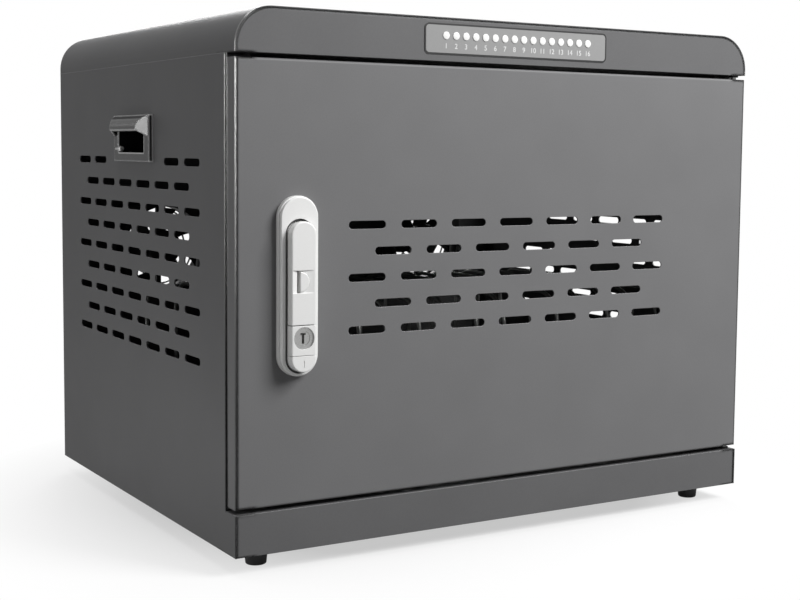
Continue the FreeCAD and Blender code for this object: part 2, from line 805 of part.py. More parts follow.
# Cam, upright while unlocked, and the screw that holds it on the plug
cam_half = cam_width / 2
cam = stadium((lock_x, cam_front, cylinder_z + (cam_reach - cam_half) / 2), (0, 0, 1), (1, 0, 0),
              cam_reach + cam_half, cam_width, (0, cam_thickness, 0))
square_half = cam_square / 2 + running_fit
nodes["lock_cam"] = cam.cut(box(lock_x - square_half, lock_x + square_half, cam_front - 1,
                                cam_rear + 1, cylinder_z - square_half, cylinder_z + square_half))
cam_screw = rod(cam_screw_radius, (lock_x, cam_rear - cam_screw_length + 1, cylinder_z),
                (lock_x, cam_rear, cylinder_z))
nodes["cam_screw"] = cam_screw.fuse(
    rod(cam_screw_head_radius, (lock_x, cam_rear, cylinder_z),
        (lock_x, cam_rear + cam_screw_head, cylinder_z))).removeSplitter()

# Screws that draw the lock onto the door from inside
lock_screws = []
for z in lock_screw_places:
    shank = rod(lock_screw_radius, (lock_x, front + sheet - lock_screw_length, z),
                (lock_x, front + sheet, z))
    lock_screws.append(shank.fuse(rod(lock_screw_head_radius, (lock_x, front + sheet, z),
                                      (lock_x, front + sheet + lock_screw_head, z))).removeSplitter())
nodes["lock_screws"] = group(lock_screws)

# Side grips: a raised block with a hood over the mouth of a finger pocket
grip_front = front + grip_centre_depth - grip_length / 2
grip_rear = grip_front + grip_length
grip_face = -half_width - grip_proud


def hood(wall):
    # Curved roof over the mouth, its ends cut off at a slant; with a wall given,
    # the hollow under that roof.
    out = -half_width - hood_proud + wall
    top = base + grip_high - grip_edge_radius - wall
    lip = base + grip_low + hood_lip_rise - wall
    root = base + grip_low + hood_root_rise - 2 * wall
    y = grip_front
    chord = Vector(out - grip_face, 0, lip - top)
    bulge = Vector(chord.z, 0, -chord.x).normalize() * hood_bulge
    crown = Vector((out + grip_face) / 2, y, (lip + top) / 2) + bulge
    corners = [Vector(out, y, lip)]
    if wall:
        corners.append(Vector(out, y, lip - 2 * wall))
    corners += [Vector(grip_face, y, root), Vector(grip_face, y, top)]
    edges = [Part.Arc(corners[-1], crown, corners[0]).toShape()]
    edges += [Part.makeLine(a, b) for a, b in zip(corners, corners[1:])]
    roof = Part.Face(Part.Wire(edges)).extrude(Vector(0, grip_length, 0))
    slope = hood_hip / (hood_proud - grip_proud)
    end = grip_edge_radius + wall * math.sqrt(1 + slope ** 2)
    hip = slope * (grip_face - out)
    return roof.common(prism([
        (grip_face, grip_front + end, base),
        (out, grip_front + end + hip, base),
        (out, grip_rear - end - hip, base),
        (grip_face, grip_rear - end, base),
    ], (0, 0, body_height)))


grip = box(grip_face, -half_width, grip_front, grip_rear, base + grip_low, base + grip_high)
grip = grip.makeFillet(grip_edge_radius, edges_on_plane(grip, 0, grip_face))
pocket_end = -half_width + grip_pocket_depth
grip = grip.fuse([
    hood(0),
    box(-half_width, pocket_end, mouth_front - grip_wall, mouth_rear + grip_wall,
        base + grip_mouth_bottom - grip_wall, base + grip_mouth_top + grip_wall),
]).removeSplitter()
mouth = box(grip_face, pocket_end - grip_wall, mouth_front, mouth_rear,
            base + grip_mouth_bottom, base + grip_mouth_top)
mouth = mouth.makeFillet(grip_mouth_radius, edges_along(mouth, 0))
screw_x = -half_width - grip_screw_outward
screw_z = base + grip_mouth_bottom + grip_mouth_radius + grip_screw_head_radius + seam
grip = grip.cut([
    hood(hood_wall),
    mouth,
    rod(grip_screw_radius + seam, (screw_x, mouth_rear - 1, screw_z),
        (screw_x, mouth_rear + grip_screw_length + seam, screw_z)),
])
nodes["left_grip"] = grip
nodes["right_grip"] = mirrored(grip)

# One slotted screw in the rear end of each pocket
screw = rod(grip_screw_head_radius, (screw_x, mouth_rear - grip_screw_head, screw_z),
            (screw_x, mouth_rear, screw_z))
screw = screw.fuse(rod(grip_screw_radius, (screw_x, mouth_rear, screw_z),
                       (screw_x, mouth_rear + grip_screw_length, screw_z))).removeSplitter()
slot = box(screw_x - grip_screw_slot / 2, screw_x + grip_screw_slot / 2,
           mouth_rear - grip_screw_head - 1, mouth_rear - grip_screw_head / 2,
           screw_z - 2 * grip_screw_head_radius, screw_z + 2 * grip_screw_head_radius)
slot.rotate(Vector(screw_x, 0, screw_z), Vector(0, 1, 0), 45)
screw = screw.cut(slot)
nodes["grip_screws"] = group([screw, mirrored(screw)])

# Indicator panel on the fascia with a lens for each bay
panel_z = base + body_height - panel_drop
lamp_z = base + lamp_height
label = rounded_plate(panel_width / 2, panel_height / 2, 0, panel_z, panel_corner_radius,
                      front + panel_inset - panel_thickness, front + panel_inset)
nodes["indicator_panel"] = label.cut([rod(lens_radius + running_fit, (x, front - 1, lamp_z),
                                          (x, plate_back, lamp_z)) for x in lamp_places])
board_front = front + lamp_board_depth
nodes["indicator_lenses"] = group([
    rod(lens_radius, (x, front + panel_inset - panel_thickness - lens_proud, lamp_z),
        (x, board_front - lamp_thickness - seam, lamp_z)) for x in lamp_places])

# Lamp board behind the fascia, on pillars
nodes["indicator_board"] = box(-panel_width / 2, panel_width / 2, board_front,
                               board_front + board_thickness, panel_z - panel_height / 2,
                               panel_z + panel_height / 2)
nodes["indicator_lamps"] = group([
    box(x - lamp_size / 2, x + lamp_size / 2, board_front - lamp_thickness, board_front,
        lamp_z - lamp_size / 2, lamp_z + lamp_size / 2) for x in lamp_places])
pillar_x = panel_width / 2 - lamp_pillar_inset
pillar_z = panel_height / 2 - lamp_pillar_inset
nodes["indicator_pillars"] = group([
    rod(pillar_radius, (x, plate_back, panel_z + z), (x, board_front, panel_z + z))
    for x in (-pillar_x, pillar_x) for z in (-pillar_z, pillar_z)])

# Tray that the devices stand on: an upside-down pan on the floor, drilled for
# the divider wires
tray_half = opening_half - tray_side_margin
tray_top = base + tray_height
divider_places = [(number - (bay_count - 2) / 2) * bay_pitch for number in range(bay_count - 1)]
tray_rear = rear - tray_rear_gap
wire_ends = [front + tray_front + divider_front_gap, tray_rear - divider_rear_gap]
tray = box(-tray_half, tray_half, front + tray_front, tray_rear, base + sheet, tray_top)
tray = tray.cut(box(-tray_half + tray_sheet, tray_half - tray_sheet,
                    front + tray_front + tray_sheet, tray_rear - tray_sheet,
                    base, tray_top - tray_sheet))
nodes["bay_tray"] = tray.cut([rod(divider_wire_radius + seam, (x, y, tray_top - tray_sheet - 1),
                                  (x, y, tray_top + 1))
                              for x in divider_places for y in wire_ends])


def divider(x):
    # One wire hoop, both legs through the tray.
    low = tray_top - divider_below_tray
    high = tray_top + divider_height - divider_wire_radius
    first, last = wire_ends
    slant = divider_bend * (1 - math.sqrt(0.5))
    path = Part.Wire([
        Part.makeLine(Vector(x, first, low), Vector(x, first, high - divider_bend)),
        Part.Arc(Vector(x, first, high - divider_bend), Vector(x, first + slant, high - slant),
                 Vector(x, first + divider_bend, high)).toShape(),
        Part.makeLine(Vector(x, first + divider_bend, high), Vector(x, last - divider_bend, high)),
        Part.Arc(Vector(x, last - divider_bend, high), Vector(x, last - slant, high - slant),
                 Vector(x, last, high - divider_bend)).toShape(),
        Part.makeLine(Vector(x, last, high - divider_bend), Vector(x, last, low)),
    ])
    section = Part.Wire([Part.makeCircle(divider_wire_radius, Vector(x, first, low),
                                         Vector(0, 0, 1))])
    return path.makePipeShell([section], True, False)


nodes["bay_dividers"] = group([divider(x) for x in divider_places])

# A rubber mat in each bay
mat_width = bay_pitch - 2 * divider_wire_radius - 2 * mat_side_gap
bay_places = [(number - (bay_count - 1) / 2) * bay_pitch for number in range(bay_count)]
nodes["bay_mats"] = group([
    box(x - mat_width / 2, x + mat_width / 2, front + tray_front + mat_end_gap,
        tray_rear - mat_end_gap, tray_top, tray_top + mat_thickness)
    for x in bay_places])

# Housing of the charging unit: front wall with the port cut-outs, and a shelf
housing_front = rear - housing_length
housing_half = half_width - grip_pocket_depth - housing_side_gap
shelf = base + body_height - housing_drop
board_low = shelf + sheet + charger_pillar_height
port_low = board_low + board_thickness
port_z = port_low + port_height / 2
housing = arch(inner_half, shelf, base + inner_top, inner_radius, housing_front,
               housing_front + sheet)
housing = housing.common(box(-housing_half, housing_half, housing_front, housing_front + sheet,
                             shelf, base + body_height))
housing = housing.fuse(box(-housing_half, housing_half, housing_front, rear_inside - seam,
                           shelf, shelf + sheet))
nodes["charger_housing"] = housing.removeSplitter().cut([
    box(x - port_width / 2 - seam, x + port_width / 2 + seam, housing_front - 1,
        housing_front + sheet + 1, port_low - seam, port_low + port_height + seam)
    for x in bay_places])

# Charging board on pillars, with a port over each bay
charger_front = housing_front + sheet + charger_board_gap
charger_rear = charger_front + charger_board_length
charger_half = bay_places[-1] + port_width / 2 + charger_board_margin
nodes["charger_board"] = box(-charger_half, charger_half, charger_front, charger_rear,
                             board_low, port_low)
pillar_reach = charger_half - charger_pillar_inset
pillar_step = 2 * pillar_reach / (charger_pillar_columns - 1)
nodes["charger_pillars"] = group([
    rod(pillar_radius, (column * pillar_step - pillar_reach, y, shelf + sheet),
        (column * pillar_step - pillar_reach, y, board_low))
    for column in range(charger_pillar_columns)
    for y in (charger_front + charger_pillar_inset, charger_rear - charger_pillar_inset)])


def port(x):
    mouth_y = housing_front - port_proud
    back = mouth_y + port_length
    shell = box(x - port_width / 2, x + port_width / 2, mouth_y, back,
                port_low, port_low + port_height)
    shell = shell.cut(box(x - port_width / 2 + port_wall, x + port_width / 2 - port_wall,
                          mouth_y - 1, back - port_back, port_low + port_wall,
                          port_low + port_height - port_wall))
    tongue = box(x - port_tongue_width / 2, x + port_tongue_width / 2, mouth_y + port_proud,
                 back - port_back, port_z - port_tongue_thickness / 2,
                 port_z + port_tongue_thickness / 2)
    return shell.fuse(tongue).removeSplitter()


nodes["charging_ports"] = group([port(x) for x in bay_places])

# Power supplies on the shelf, in a row from the left
supply_rear = rear - supply_rear_gap
supply_ends = [supply_side_gap - housing_half + number * (supply_length + supply_gap)
               for number in range(supply_count)]
nodes["power_supplies"] = group([
    box(x, x + supply_length, supply_rear - supply_depth, supply_rear,
        shelf + sheet, shelf + sheet + supply_height) for x in supply_ends])

# Fans inside the rear panel
fan_front = rear_inside - fan_thickness
motor_front = rear_inside - fan_motor_thickness
rotor_front = fan_front + fan_hub_sunk
rotor_rear = rotor_front + fan_hub_depth


def fan_frame(x, z):
    frame = rounded_plate(fan_size / 2, fan_size / 2, x, z, fan_corner_radius, fan_front, rear_inside)
    frame = frame.cut(rod(fan_bore_radius, (x, fan_front - 1, z), (x, rear_inside + 1, z)))
    reach = fan_bore_radius + 1
    spokes = [rod(fan_motor_radius, (x, motor_front, z), (x, rear_inside, z)),
              rod(fan_post_radius, (x, rotor_front + 2 * fan_hub_wall, z), (x, motor_front, z))]
    for angle in (0, 90):
        bar = box(x - reach, x + reach, motor_front, rear_inside, z - fan_strut_width / 2,
                  z + fan_strut_width / 2)
        bar.rotate(Vector(x, 0, z), Vector(0, 1, 0), angle)
        spokes.append(bar)
    frame = frame.fuse(spokes).removeSplitter()
    holes = [rod(fan_screw_radius + seam, (x + a * screw_step, fan_front - 1, z + b * screw_step),
                 (x + a * screw_step, rear_inside + 1, z + b * screw_step))
             for a in (-1, 1) for b in (-1, 1)]
    bore = rod(fan_shaft_radius + running_fit, (x, rotor_front, z), (x, motor_front, z))
    return frame.cut(holes + [bore])


def fan_rotor(x, z):
    tip = fan_bore_radius - fan_blade_tip_gap
    rim = rod(tip, (x, rotor_front, z), (x, rotor_rear, z))
    blades = []
    for number in range(fan_blade_count):
        blade = box(x + fan_hub_radius - 1, x + fan_bore_radius, rotor_front - fan_blade_thickness / 2,
                    rotor_front + fan_blade_thickness / 2, z - fan_blade_chord / 2,
                    z + fan_blade_chord / 2)
        middle = Vector(x, rotor_front, z)
        blade.rotate(middle, Vector(1, 0, 0), fan_blade_pitch_angle)
        blade.translate(Vector(0, fan_hub_depth / 2, 0))
        blade.rotate(middle, Vector(0, 1, 0), 360 / fan_blade_count * number)
        blades.append(blade.common(rim))
    hub = rod(fan_hub_radius, (x, rotor_front, z), (x, rotor_rear, z))
    hub = hub.cut(rod(fan_hub_radius - fan_hub_wall, (x, rotor_front + fan_hub_wall, z),
                      (x, rotor_rear + 1, z)))
    shaft = rod(fan_shaft_radius, (x, rotor_front, z), (x, rotor_rear, z))
    return hub.fuse(blades + [shaft]).removeSplitter()


for name, place in zip(("left_fan", "right_fan"), fan_places):
    nodes[name + "_frame"] = fan_frame(*place)
    nodes[name + "_rotor"] = fan_rotor(*place)

# Wire guards outside the fans, and the screws through guard, panel and frame
eye_step = screw_step * math.sqrt(2)


def fan_guard(x, z):
    pieces = []
    for number in range(guard_ring_count):
        radius = guard_outer_radius - number * guard_ring_step
        ring = rod(radius, (x, rear + guard_proud - guard_wire, z), (x, rear + guard_proud, z))
        pieces.append(ring.cut(rod(radius - guard_wire, (x, rear, z), (x, rear + guard_proud + 1, z))))
    for angle in (45, 135):
        bar = box(x - eye_step, x + eye_step, rear, rear + guard_proud - guard_wire,
                  z - guard_wire / 2, z + guard_wire / 2)
        bar.rotate(Vector(x, 0, z), Vector(0, 1, 0), angle)
        pieces.append(bar)
    for a in (-1, 1):
        for b in (-1, 1):
            pieces.append(rod(guard_eye_radius, (x + a * screw_step, rear, z + b * screw_step),
                              (x + a * screw_step, rear + guard_proud - guard_wire,
                               z + b * screw_step)))
    holes = [rod(fan_screw_radius + seam, (x + a * screw_step, rear - 1, z + b * screw_step),
                 (x + a * screw_step, rear + guard_proud + 1, z + b * screw_step))
             for a in (-1, 1) for b in (-1, 1)]
    return pieces[0].fuse(pieces[1:]).removeSplitter().cut(holes)


nodes["fan_guards"] = group([fan_guard(x, z) for x, z in fan_places])
fan_screws = []
seat = rear + guard_proud - guard_wire
for x, z in fan_screw_places:
    shank = rod(fan_screw_radius, (x, seat - fan_screw_length, z), (x, seat, z))
    fan_screws.append(shank.fuse(rod(fan_screw_head_radius, (x, seat, z),
                                     (x, seat + fan_screw_head, z))).removeSplitter())
nodes["fan_screws"] = group(fan_screws)

# Mains inlet with its three pins and two screws
inlet_half_x = inlet_body_width / 2
inlet_half_z = inlet_body_height / 2
inlet = rounded_plate(inlet_flange_width / 2, inlet_flange_height / 2, inlet_x, service,
                      inlet_wall, rear, rear + inlet_flange_thickness)
inlet = inlet.fuse(box(inlet_x - inlet_half_x, inlet_x + inlet_half_x, rear - inlet_depth, rear,
                       service - inlet_half_z, service + inlet_half_z)).removeSplitter()
inlet_floor = rear - inlet_depth + inlet_wall
pin_places = [(inlet_x - inlet_pin_spacing, service - inlet_pin_drop),
              (inlet_x, service + inlet_pin_drop),
              (inlet_x + inlet_pin_spacing, service - inlet_pin_drop)]


def inlet_pin(x, z, margin, y0, y1):
    return box(x - inlet_pin_width / 2 - margin, x + inlet_pin_width / 2 + margin, y0, y1,
               z - inlet_pin_height / 2 - margin, z + inlet_pin_height / 2 + margin)


nodes["mains_inlet"] = inlet.cut(
    [box(inlet_x - inlet_half_x + inlet_wall, inlet_x + inlet_half_x - inlet_wall, inlet_floor,
         rear + inlet_flange_thickness + 1, service - inlet_half_z + inlet_wall,
         service + inlet_half_z - inlet_wall)]
    + [inlet_pin(x, z, running_fit, rear - inlet_depth - 1, inlet_floor + 1) for x, z in pin_places]
    + [rod(inlet_screw_radius + seam, (x, rear - 1, service),
           (x, rear + inlet_flange_thickness + 1, service)) for x in inlet_screw_places])
nodes["inlet_pins"] = group([
    inlet_pin(x, z, 0, rear - inlet_depth, inlet_floor + inlet_pin_length) for x, z in pin_places])
inlet_screws = []
seat = rear + inlet_flange_thickness
for x in inlet_screw_places:
    shank = rod(inlet_screw_radius, (x, seat - inlet_screw_length, service), (x, seat, service))
    inlet_screws.append(shank.fuse(rod(inlet_screw_head_radius, (x, seat, service),
                                       (x, seat + inlet_screw_head, service))).removeSplitter())
nodes["inlet_screws"] = group(inlet_screws)

# Mains switch: a hollow body, and the rocker lying in it, tilted to off
well_half_x = switch_half_x - switch_wall
well_half_z = switch_half_z - switch_end_wall
body = rounded_plate(switch_flange_width / 2, switch_flange_height / 2, switch_x, service,
                     switch_corner_radius, rear, rear + switch_flange_thickness)
body = body.fuse(box(switch_x - switch_half_x, switch_x + switch_half_x, rear - switch_depth, rear,
                     service - switch_half_z, service + switch_half_z)).removeSplitter()
rocker_y = rear - rocker_pivot_depth
axle_half = switch_half_x - switch_wall / 2
nodes["switch_body"] = body.cut([
    box(switch_x - well_half_x, switch_x + well_half_x, rear - switch_depth + switch_wall,
        rear + switch_flange_thickness + 1, service - well_half_z, service + well_half_z),
    rod(rocker_axle_radius + running_fit, (switch_x - axle_half - seam, rocker_y, service),
        (switch_x + axle_half + seam, rocker_y, service)),
])
rocker_half_x = well_half_x - moving_gap
rocker_half_z = well_half_z - rocker_end_gap
rocker = prism([
    (switch_x - rocker_half_x, rocker_y + rocker_end_proud, service + rocker_half_z),
    (switch_x - rocker_half_x, rocker_y + rocker_middle_proud, service),
    (switch_x - rocker_half_x, rocker_y + rocker_end_proud, service - rocker_half_z),
    (switch_x - rocker_half_x, rocker_y - rocker_end_depth, service - rocker_half_z),
    (switch_x - rocker_half_x, rocker_y - rocker_radius, service),
    (switch_x - rocker_half_x, rocker_y - rocker_end_depth, service + rocker_half_z),
], (2 * rocker_half_x, 0, 0))
rocker = rocker.fuse(rod(rocker_axle_radius, (switch_x - axle_half, rocker_y, service),
                         (switch_x + axle_half, rocker_y, service))).removeSplitter()
rocker.rotate(Vector(switch_x, rocker_y, service), Vector(1, 0, 0), -rocker_half_angle)
nodes["switch_rocker"] = rocker

# Rubber feet with a sunk screw each, and the nuts on the floor pan
feet = []
foot_screws = []
foot_nuts = []
head_top = foot_recess_depth
for x, y in foot_places:
    foot = Part.makeCone(foot_bottom_radius, foot_top_radius, foot_height, Vector(x, y, 0))
    foot = foot.makeFillet(foot_edge_radius, edges_on_plane(foot, 2, 0))
    feet.append(foot.cut([rod(foot_recess_radius, (x, y, -1), (x, y, foot_recess_depth)),
                          rod(foot_screw_radius + seam, (x, y, 0), (x, y, foot_height + 1))]))
    nut_top = base + sheet + foot_nut_thickness
    shank = rod(foot_screw_radius, (x, y, head_top), (x, y, nut_top + 1))
    foot_screws.append(shank.fuse(rod(foot_screw_head_radius, (x, y, head_top - foot_screw_head),
                                      (x, y, head_top))).removeSplitter())
    nut = hexagon(x, y, base + sheet, foot_nut_flats, (0, 0, foot_nut_thickness))
    foot_nuts.append(nut.cut(rod(foot_screw_radius + running_fit, (x, y, base), (x, y, nut_top + 1))))
nodes["feet"] = group(feet)
nodes["foot_screws"] = group(foot_screws)
nodes["foot_nuts"] = group(foot_nuts)

for name, shape in nodes.items():
    shape.exportStep("parts/" + name + ".step")
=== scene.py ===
import bmesh
import bpy
import math
from mathutils import Matrix, Vector


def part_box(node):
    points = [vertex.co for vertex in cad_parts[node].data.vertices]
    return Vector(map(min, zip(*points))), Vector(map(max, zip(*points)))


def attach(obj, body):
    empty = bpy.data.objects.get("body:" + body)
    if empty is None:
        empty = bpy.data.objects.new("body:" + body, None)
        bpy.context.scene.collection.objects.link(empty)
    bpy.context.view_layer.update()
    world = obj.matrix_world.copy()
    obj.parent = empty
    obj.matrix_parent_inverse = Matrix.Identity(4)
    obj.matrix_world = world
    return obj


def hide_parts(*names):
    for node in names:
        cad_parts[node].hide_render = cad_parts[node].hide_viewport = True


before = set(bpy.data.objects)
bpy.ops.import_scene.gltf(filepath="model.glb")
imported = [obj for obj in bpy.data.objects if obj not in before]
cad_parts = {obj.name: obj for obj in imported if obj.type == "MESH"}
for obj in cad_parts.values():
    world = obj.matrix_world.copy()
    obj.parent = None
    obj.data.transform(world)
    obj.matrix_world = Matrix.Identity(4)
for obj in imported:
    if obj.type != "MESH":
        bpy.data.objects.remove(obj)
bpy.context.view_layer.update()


# Body: sides, rounded top, fascia, plinth, floor pan, jambs and rear panel.
# Cold-rolled steel sheet, cut, folded and spot-welded, then powder-coated in a
# fine-textured mid grey together with the tray and the charger housing.
def tint(code):
    # sRGB hex to the linear values that shaders take.
    channels = [int(code[i:i + 2], 16) / 255 for i in (1, 3, 5)]
    linear = [c / 12.92 if c <= 0.04045 else ((c + 0.055) / 1.055) ** 2.4 for c in channels]
    return linear + [1]


def per_mm(size):
    # Texture scale that repeats a pattern about every so many millimetres.
    return 1000 / size


def add(tree, kind, inputs=None, **settings):
    # New node with its settings. An input is a value, or the socket that feeds it.
    node = tree.nodes.new(kind)
    for name, value in settings.items():
        setattr(node, name, value)
    for name, value in (inputs or {}).items():
        if isinstance(value, bpy.types.NodeSocket):
            tree.links.new(value, node.inputs[name])
        else:
            node.inputs[name].default_value = value
    return node


def surface(name):
    # New material, its node tree, its shader, and the place on the object.
    material = bpy.data.materials.new(name)
    material.use_nodes = True
    tree = material.node_tree
    place = add(tree, "ShaderNodeTexCoord").outputs["Object"]
    return material, tree, tree.nodes["Principled BSDF"], place


def dress(material, *names):
    # The material on every slot of the named CAD nodes.
    for name in names:
        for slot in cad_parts[name].material_slots:
            slot.material = material


# Powder coat baked on steel: an even satin grey with a faint orange peel, a little
# lighter round the cut edges of the slots, partly wear and partly a painted highlight.
# On the outer front folds a painted shade, a dark shiny line towards the front, and on
# the upper part a painted highlight, a bright metal hairline beside it.
powder_coat, tree, shader, place = surface("powder_coated_steel_fine_texture")
# The real grit is about 0.4 mm; it is drawn at 1.1 mm so that it shows.
grit = add(tree, "ShaderNodeTexNoise", {"Vector": place, "Scale": per_mm(1.1), "Detail": 3.0})
cloud = add(tree, "ShaderNodeTexNoise", {"Vector": place, "Scale": per_mm(60), "Detail": 2.0})
cut = add(tree, "ShaderNodeBevel", {"Radius": 0.0006}, samples=4)
fold = add(tree, "ShaderNodeBevel", {"Radius": 0.0030}, samples=6)
flat = add(tree, "ShaderNodeNewGeometry").outputs["Normal"]
turn = add(tree, "ShaderNodeVectorMath", {0: cut.outputs["Normal"], 1: flat},
           operation="DOT_PRODUCT")
edge = add(tree, "ShaderNodeMapRange", {"Value": turn.outputs["Value"],
                                        "From Min": 0.99, "From Max": 0.75})
# Front folds are where the surface turns between the front plane and a side.
lean = add(tree, "ShaderNodeSeparateXYZ", {"Vector": fold.outputs["Normal"]})
ahead = add(tree, "ShaderNodeMath", {0: lean.outputs["Y"]}, operation="ABSOLUTE")
leaving = add(tree, "ShaderNodeMapRange", {"Value": ahead.outputs[0],
                                           "From Min": 0.12, "From Max": 0.3})
facing = add(tree, "ShaderNodeMapRange", {"Value": ahead.outputs[0],
                                          "From Min": 0.996, "From Max": 0.97})
fold_line = add(tree, "ShaderNodeMath", {0: leaving.outputs["Result"],
                                         1: facing.outputs["Result"]}, operation="MULTIPLY")
aside = add(tree, "ShaderNodeMath", {0: lean.outputs["X"]}, operation="ABSOLUTE")
turning = add(tree, "ShaderNodeMapRange", {"Value": ahead.outputs[0],
                                           "From Min": 0.74, "From Max": 0.66})
sideways = add(tree, "ShaderNodeMapRange", {"Value": aside.outputs[0],
                                            "From Min": 0.35, "From Max": 0.55})
painted_highlight_mask = add(tree, "ShaderNodeMath", {0: turning.outputs["Result"],
                                        1: sideways.outputs["Result"]}, operation="MULTIPLY")
painted_highlight_mask = add(tree, "ShaderNodeMath", {0: painted_highlight_mask.outputs[0], 1: leaving.outputs["Result"]},
               operation="MULTIPLY")
# The painted highlight hairline fades out towards the plinth, as the highlight does.
where = add(tree, "ShaderNodeSeparateXYZ", {"Vector": place})
highlight_fade_down = add(tree, "ShaderNodeMapRange", {"Value": where.outputs["Z"],
                                           "From Min": 0.10, "From Max": 0.42})
painted_highlight_mask = add(tree, "ShaderNodeMath", {0: painted_highlight_mask.outputs[0], 1: highlight_fade_down.outputs["Result"]},
               operation="MULTIPLY")
# The rim is the outer sides and the top, in the front part only.
across = add(tree, "ShaderNodeMath", {0: where.outputs["X"]}, operation="ABSOLUTE")
outer = add(tree, "ShaderNodeMapRange", {"Value": across.outputs[0],
                                         "From Min": 0.250, "From Max": 0.255})
upper = add(tree, "ShaderNodeMapRange", {"Value": where.outputs["Z"],
                                         "From Min": 0.440, "From Max": 0.445})
rim = add(tree, "ShaderNodeMath", {0: outer.outputs["Result"], 1: upper.outputs["Result"]},
          operation="MAXIMUM")
front_part = add(tree, "ShaderNodeMapRange", {"Value": where.outputs["Y"],
                                              "From Min": -0.180, "From Max": -0.185})
rim = add(tree, "ShaderNodeMath", {0: rim.outputs[0], 1: front_part.outputs["Result"]},
          operation="MULTIPLY")
# Painted shade: a dark line along the front part of the outer folds.
painted_shade_fold_line = add(tree, "ShaderNodeMath", {0: rim.outputs[0], 1: fold_line.outputs[0]},
           operation="MULTIPLY")
# Painted highlight: a bright metal hairline beside the dark line, upper body only.
painted_highlight_line = add(tree, "ShaderNodeMath", {0: rim.outputs[0], 1: painted_highlight_mask.outputs[0]},
           operation="MULTIPLY")
grey = add(tree, "ShaderNodeMix", {"Factor": cloud.outputs["Fac"], "A": tint("#676768"),
                                   "B": tint("#6f6f70")}, data_type="RGBA")
speck = add(tree, "ShaderNodeMix", {"Factor": grit.outputs["Fac"], "A": tint("#ececec"),
                                    "B": tint("#ffffff")}, data_type="RGBA")
coat = add(tree, "ShaderNodeMix", {"Factor": 1.0, "A": grey.outputs["Result"],
                                   "B": speck.outputs["Result"]},
           data_type="RGBA", blend_type="MULTIPLY")
# Cut edges drawn lighter: partly wear, partly a painted highlight.
coat_wear_and_highlight = add(tree, "ShaderNodeMix", {"Factor": edge.outputs["Result"],
                                   "A": coat.outputs["Result"],
                                   "B": tint("#8c8c8d")}, data_type="RGBA")
# Edges that look up are the palest: partly dust where it settles and cloths rub, partly a
# painted highlight from the light above.
rise = add(tree, "ShaderNodeSeparateXYZ", {"Vector": cut.outputs["Normal"]})
upward_dust_and_highlight = add(tree, "ShaderNodeMapRange", {"Value": rise.outputs["Z"],
                                          "From Min": 0.15, "From Max": 0.5})
upward_dust_and_highlight = add(tree, "ShaderNodeMath", {0: upward_dust_and_highlight.outputs["Result"], 1: edge.outputs["Result"]},
             operation="MULTIPLY")
coat_wear_and_highlight = add(tree, "ShaderNodeMix", {"Factor": upward_dust_and_highlight.outputs[0], "A": coat_wear_and_highlight.outputs["Result"],
                                   "B": tint("#c4c4c5")}, data_type="RGBA")
coat_with_painted_shade = add(tree, "ShaderNodeMix", {"Factor": painted_shade_fold_line.outputs[0], "A": coat_wear_and_highlight.outputs["Result"],
                                    "B": tint("#0e0e0f")}, data_type="RGBA")
# The coat with the painted shade line and the painted highlight hairline.
coat_with_painted_lines = add(tree, "ShaderNodeMix", {"Factor": painted_highlight_line.outputs[0], "A": coat_with_painted_shade.outputs["Result"],
                                     "B": tint("#dcdcdb")}, data_type="RGBA")
tree.links.new(coat_with_painted_lines.outputs["Result"], shader.inputs["Base Color"])
tree.links.new(painted_highlight_line.outputs[0], shader.inputs["Metallic"])
satin = add(tree, "ShaderNodeMapRange", {"Value": grit.outputs["Fac"],
                                         "To Min": 0.44, "To Max": 0.54})
shine = add(tree, "ShaderNodeMix", {"Factor": painted_shade_fold_line.outputs[0], "A": satin.outputs["Result"],
                                    "B": 0.22})
tree.links.new(shine.outputs["Result"], shader.inputs["Roughness"])
# The folds are rounded more widely than the cut edges.
rounded = add(tree, "ShaderNodeMix", {"Factor": rim.outputs[0]}, data_type="VECTOR")
tree.links.new(cut.outputs["Normal"], rounded.inputs[4])
tree.links.new(fold.outputs["Normal"], rounded.inputs[5])
peel = add(tree, "ShaderNodeBump", {"Height": grit.outputs["Fac"], "Strength": 0.10,
                                    "Distance": 0.0002, "Normal": rounded.outputs[1]})
tree.links.new(peel.outputs["Normal"], shader.inputs["Normal"])
shader.inputs["Specular IOR Level"].default_value = 0.25
dress(powder_coat, "left_side_panel", "right_side_panel", "top_cover", "front_fascia",
      "plinth_panel", "floor_pan", "left_jamb", "right_jamb", "rear_panel", "bay_tray",
      "charger_housing")


# Feet: four tapered rubber bumpers under the floor pan, each held by a cross-head
# screw sunk in its underside and a nut on the pan. Moulded rubber, zinc screws.
def two_tone(tree, shader, share, dark, pale, smooth, rough):
    # Colour and roughness that change together with a pattern.
    colour = add(tree, "ShaderNodeMix", {"Factor": share, "A": tint(dark), "B": tint(pale)},
                 data_type="RGBA")
    tree.links.new(colour.outputs["Result"], shader.inputs["Base Color"])
    polish = add(tree, "ShaderNodeMapRange", {"Value": share, "To Min": smooth,
                                              "To Max": rough})
    tree.links.new(polish.outputs["Result"], shader.inputs["Roughness"])
    return colour.outputs["Result"]


# Moulded rubber is dull, with dust-grey patches a few millimetres across.
rubber, tree, shader, place = surface("moulded_black_rubber")
bloom = add(tree, "ShaderNodeTexNoise", {"Vector": place, "Scale": per_mm(6), "Detail": 5.0})
two_tone(tree, shader, bloom.outputs["Fac"], "#2e2e2f", "#3a3a3b", 0.30, 0.44)
pores = add(tree, "ShaderNodeTexNoise", {"Vector": place, "Scale": per_mm(0.8), "Detail": 2.0})
skin = add(tree, "ShaderNodeBump", {"Height": pores.outputs["Fac"], "Strength": 0.2,
                                    "Distance": 0.0001})
tree.links.new(skin.outputs["Normal"], shader.inputs["Normal"])
dress(rubber, "feet", "door_bumpers")

